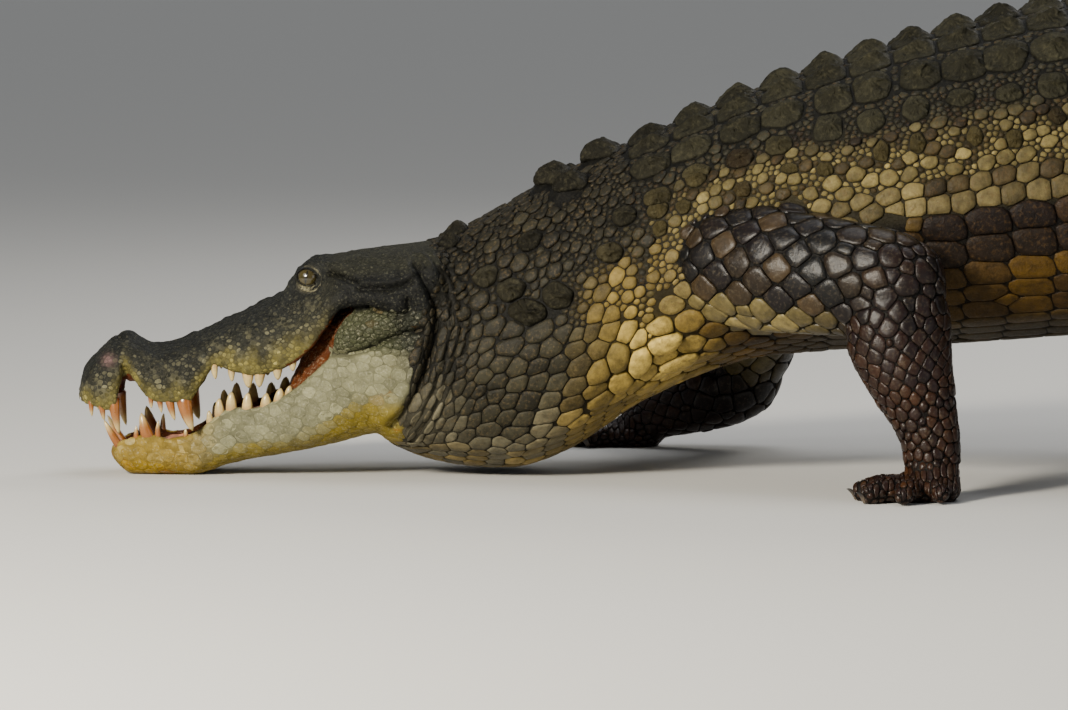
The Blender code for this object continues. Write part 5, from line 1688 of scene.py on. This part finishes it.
def makeClaws():
    names = sorted(name for name in nodes if "_claw_" in name)
    made = []
    for name in names:
        bm = cadCopy(name)
        points = np.array([vert.co for vert in bm.verts])
        bm.free()
        off = points - points.mean(0)
        axis = np.linalg.svd(off, full_matrices=False)[2][0]
        axis = -axis if axis[0] > 0 else axis
        along = off @ axis
        rear = points[along < along.min() + 0.3 * np.ptp(along)]
        root, tip = rear.mean(0), points[along > along.max() - 0.002].mean(0)
        across = np.cross(axis, (0, 0, 1.0))
        thick = 0.5 * np.ptp(rear @ across)
        back = root - 0.25 * (tip - root)
        made.append(horn(back, tip, (0, 0, claws["droop"]), thick, thick * 1.05, across, 12, 14, 0.8))
    obj = joined("claws", made, lambda k, t, points: between(claws["base"], claws["tip"], ramp(t, 0.2, 0.75)),
                 smallFinish("clawHorn", 0.3, 420, 0.0004, 0.3))
    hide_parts(*names)


crest = {
    "height": ((1.84, 0.012), (2.3, 0.024), (2.7, 0.034), (3.1, 0.03), (3.56, 0.01)),
    "spread": ((1.84, 0.075), (2.3, 0.048), (2.7, 0.014), (2.82, 0), (3.56, 0)),
    "colour": (0.062, 0.054, 0.038), "edge": (0.16, 0.14, 0.09),
}


# upright keeled scutes along the top of the tail, in two rows that meet in one
def makeCrest():
    made, down = [], (0, 0, -1)
    for x, pitch in whorls(0.62, 3.52):
        spread, height = float(curve(crest["spread"], x)), float(curve(crest["height"], x))
        turn = float(tailTurn(x))
        along = np.array((math.cos(turn), math.sin(turn), 0))
        for side in ((-1, 1) if spread > 0.008 else (0,)):
            y = float(tailSway(x)) + side * spread * 0.55 * math.cos(turn)
            foot, peak = hideSurface.hit((x - 0.35 * pitch, y, 1), down), hideSurface.hit((x, y, 1), down)
            low = foot.z if foot else 0.1
            high = peak.z if peak else low + height
            root = np.array((x, y, low)) - along * 0.14 * pitch - np.array((0, 0, 0.012))
            tip = np.array((x, y + side * 0.004, max(high, low + 0.5 * height) + 0.003)) + along * 0.22 * pitch
            made.append(horn(root, tip, -0.1 * pitch * along, 0.47 * pitch, 0.0075, along, 10, 20, 0.75))
    joined("tailCrest", made, lambda k, t, points: between(crest["colour"], crest["edge"], 0.5 * ramp(t, 0.75, 1.0)),
           smallFinish("crestHorn", 0.55, 260, 0.0011, 0.0))


eyes = {"iris": (0.044, 0.033, 0.005), "rim": (0.008, 0.006, 0.002), "white": (0.012, 0.008, 0.005),
        "irisSize": 0.9, "slitWay": (0.18, 0, 1.0)}


def makeEyes():
    wet = smallFinish("wetEye", 0.07, 900, 0.00002, 0.7)
    for name, side in sideNames:
        centre, radius, look = eyePlace(name, side)
        bm = bmesh.new()
        bmesh.ops.create_uvsphere(bm, u_segments=72, v_segments=54, radius=radius)
        turn = Vector((0, 0, 1)).rotation_difference(Vector(look))
        bmesh.ops.rotate(bm, verts=bm.verts, cent=(0, 0, 0), matrix=turn.to_matrix())
        bmesh.ops.translate(bm, verts=bm.verts, vec=Vector(centre))
        lean = np.array(eyes["slitWay"])
        upright = unit(lean - look * (lean @ look))
        level = np.cross(look, upright)

        def paintEye(k, t, points):
            way = (points - centre) / radius
            away = np.arccos(np.clip(way @ look, -1, 1))
            up, across = way @ upright, way @ level
            size = eyes["irisSize"]
            streak = 0.5 + 0.5 * np.sin(np.arctan2(up, across) * 43 + 2.5 * wavy(way, 0.35, 6))
            iris = np.array(eyes["iris"]) * (0.55 + 0.55 * streak * ramp(away, 0.1, 0.5))[:, None]
            iris = between(iris, eyes["rim"], ramp(away, 0.72 * size, size))
            tone = between(iris, eyes["white"], ramp(away, size, size + 0.06))
            slit = ramp(np.hypot(across / 0.085, up / 0.56), 1.12, 0.9)
            return tone * (1 - slit[:, None]) + 0.002

        obj = joined("eyeball" + name.capitalize(), [(bm, lambda points: points[:, 0])], paintEye, wet)
        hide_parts("eye_" + name)


lids = {"width": 0.014, "above": 0.0112, "below": 0.0104, "tilt": 20, "reach": 0.025, "edge": 0.001,
        "lowest": 0.001, "colour": (0.018, 0.018, 0.015), "pale": (0.3, 0.27, 0.16),
        # distance from the rim, width and height of each fold
        "creases": ((0.004, 0.001, -0.0011), (0.0075, 0.0011, -0.0009), (0.0012, 0.0012, 0.0008))}


# folded skin round each eye: a height over the plane of the eye, from its almond rim out to the hide
def makeLids():
    made, hues = [], []
    directions, distances = 72, 14
    for name, side in sideNames:
        centre, radius, look = eyePlace(name, side)
        up = unit(np.array((0.0, 0, 1.0)) - look * look[2])
        back = unit(np.cross(up, look)) * side
        tilt = math.radians(lids["tilt"])
        rear = back * math.cos(tilt) + up * math.sin(tilt)
        over = up * math.cos(tilt) - back * math.sin(tilt)

        def rimOf(v):
            turn = 2 * math.pi * v
            tall = np.where(np.sin(turn) > 0, lids["above"], lids["below"])
            rimX = lids["width"] * np.cos(turn) * (1 + 0.1 * np.cos(turn) ** 8)
            rimY = tall * np.sin(turn) * np.abs(np.sin(turn)) ** 0.25
            return turn, rimX, rimY, np.hypot(rimX, rimY)

        # places on the plane of the eye, and the height of the hide over them
        def under(v, away):
            _, rimX, rimY, rim = rimOf(v)
            flat = centre + rear * (away * rimX / rim)[:, None] + over * (away * rimY / rim)[:, None]
            hits = [hideSurface.hit(spot + look * 0.05, -look, 0.09) for spot in flat]
            return flat, np.array([-0.05 if hit is None else (np.array(hit) - spot) @ look
                                   for hit, spot in zip(hits, flat)])

        # how far out the skin goes each way before the hide turns away from the eye
        ring, steps = np.arange(directions) / directions, np.linspace(0.0145, lids["reach"], distances)
        heights = under(np.repeat(ring, distances), np.tile(steps, directions))[1].reshape(directions, distances)
        clear = (heights > lids["lowest"]).cumprod(axis=1).sum(axis=1)
        limits = steps[np.clip(clear - 1, 0, distances - 1)]
        limits = np.minimum.reduce([np.roll(limits, k) for k in range(-2, 3)])
        limits = sum(np.roll(limits, k) for k in range(-3, 4)) / 7

        def place(u, v):
            turn, _, _, rim = rimOf(v)
            least = np.maximum(rim + 0.003, radius + 0.0024)
            reach = np.maximum(np.interp(v, ring, limits, period=1), least)
            away = rim - 0.0012 + (reach - rim) * np.clip(u, 0, 1) ** 1.4
            flat, ground = under(v, away)
            ground = np.maximum(ground, -0.012)
            ball = np.sqrt(np.maximum((radius + lids["edge"]) ** 2 - rim**2, 0))
            out = away - rim
            fall = np.clip(out / (0.78 * (reach - rim)), 0, 1)
            tall = ball + (ground + 0.001 - ball) * fall * fall * (3 - 2 * fall)
            crease = sum(deep * np.exp(-(((out - at) / wide) ** 2)) for at, wide, deep in lids["creases"])
            fine = np.sin(turn * 21 + 3 * np.sin(out * 700)) * np.sin(out * 2100 + 2 * np.sin(turn * 5))
            tall = tall + (crease + 0.0004 * fine * (out > 0.001)) * np.clip(1 - u, 0, 1)
            cover = np.sqrt(np.maximum((radius + 0.0009) ** 2 - away**2, 0))
            tall = np.where((out > 0) & (away < radius + 0.0009), np.maximum(tall, cover), tall)
            inner = np.sqrt(np.maximum(radius**2 - away**2, 0)) - 0.0006
            tall = np.where(out < -0.0008, inner, tall)
            tall = np.where(u > 0.88, tall - 0.002 * (u - 0.88) / 0.12, tall)
            points = flat + look * tall[:, None]
            # where the hide turns away, the skin's outer part lies down on it
            spots, normals, _ = hideSurface.nearest(points)
            share = ramp(fall, 0.45, 0.9) * ramp(dot(points - spots, normals), 0.0012, 0.0024)
            lying = spots + normals * (0.001 - 0.0022 * ramp(u, 0.88, 1.0))[:, None]
            return points + (lying - points) * share[:, None]

        bm = bmesh.new()
        bmesh.ops.create_grid(bm, x_segments=36, y_segments=150, size=0.5)
        grid = np.array([vert.co for vert in bm.verts]) + 0.5
        for vert, point in zip(bm.verts, place(grid[:, 0], grid[:, 1])):
            vert.co = point
        bmesh.ops.remove_doubles(bm, verts=bm.verts, dist=0.00002)
        bmesh.ops.recalc_face_normals(bm, faces=bm.faces)
        bm.normal_update()
        if sum(face.normal.dot(Vector(look)) for face in bm.faces) < 0:
            bmesh.ops.reverse_faces(bm, faces=bm.faces)
        made.append((bm, lambda points: points[:, 0]))
        hues.append((centre, rear, over, look))

    def paintLid(k, t, points):
        across, high, out = ((points - hues[k][0]) @ way for way in hues[k][1:])
        tall = np.where(high > 0, lids["above"], lids["below"])
        rim = np.hypot(across / lids["width"], high / tall)  # 1 on the lid's own edge
        share = 0.9 * ramp(high, 0.002, -0.004) * ramp(rim, 2.1, 1.5) * ramp(across, 0.012, -0.004)
        share = np.maximum(share, 0.3 * ramp(rim, 1.22, 1.32) * ramp(rim, 1.62, 1.45))
        share *= ramp(out, -0.002, 0.004)
        tone = between(lids["colour"], lids["pale"], share * np.clip(0.5 + 0.8 * wavy(points, 0.0035, 5), 0, 1))
        return tone * (0.1 + 0.9 * ramp(rim, 1.08, 1.24))[:, None]

    joined("eyelids", made, paintLid, skins["lidHide"])


tongue = {"shape": ((0.108, 0.01, 0.003), (0.112, 0.02, 0.006), (0.135, 0.029, 0.01), (0.2, 0.037, 0.014),
                    (0.262, 0.036, 0.012)), "colour": (0.52, 0.22, 0.13), "edge": (0.36, 0.1, 0.05)}


def makeTongue():
    table = np.array(tongue["shape"])

    def place(u, v):
        x = 0.11 + u * 0.15
        wide = np.interp(x, table[:, 0], table[:, 1]) * np.clip(np.sin(np.clip(u * 12, 0, 1.57)), 0, 1)
        tall = np.interp(x, table[:, 0], table[:, 2])
        turn = 2 * math.pi * v
        floor = np.minimum(curve(jaw["floor"], x), curve(head["palate"], x))
        z = floor + 0.0006 + tall * (0.45 + 0.55 * np.cos(turn))
        return np.stack([x, wide * np.sin(turn), z + 0.0012 * wavy(np.stack([x, wide * v, z], 1), 0.02, 4)], 1)

    def paintTongue(k, t, points):
        return between(tongue["colour"], tongue["edge"], ramp(np.abs(points[:, 1]), 0.015, 0.034))

    obj = joined("tongueFlesh", [(gridSurface(60, 40, place), lambda points: points[:, 0])], paintTongue,
                 smallFinish("tongueFlesh", 0.35, 500, 0.0005, 0.3))
    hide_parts("tongue")


makeTeeth()
makeClaws()
makeCrest()
makeEyes()
makeLids()
makeTongue()
print("teeth, claws, crest, eyes and tongue made")
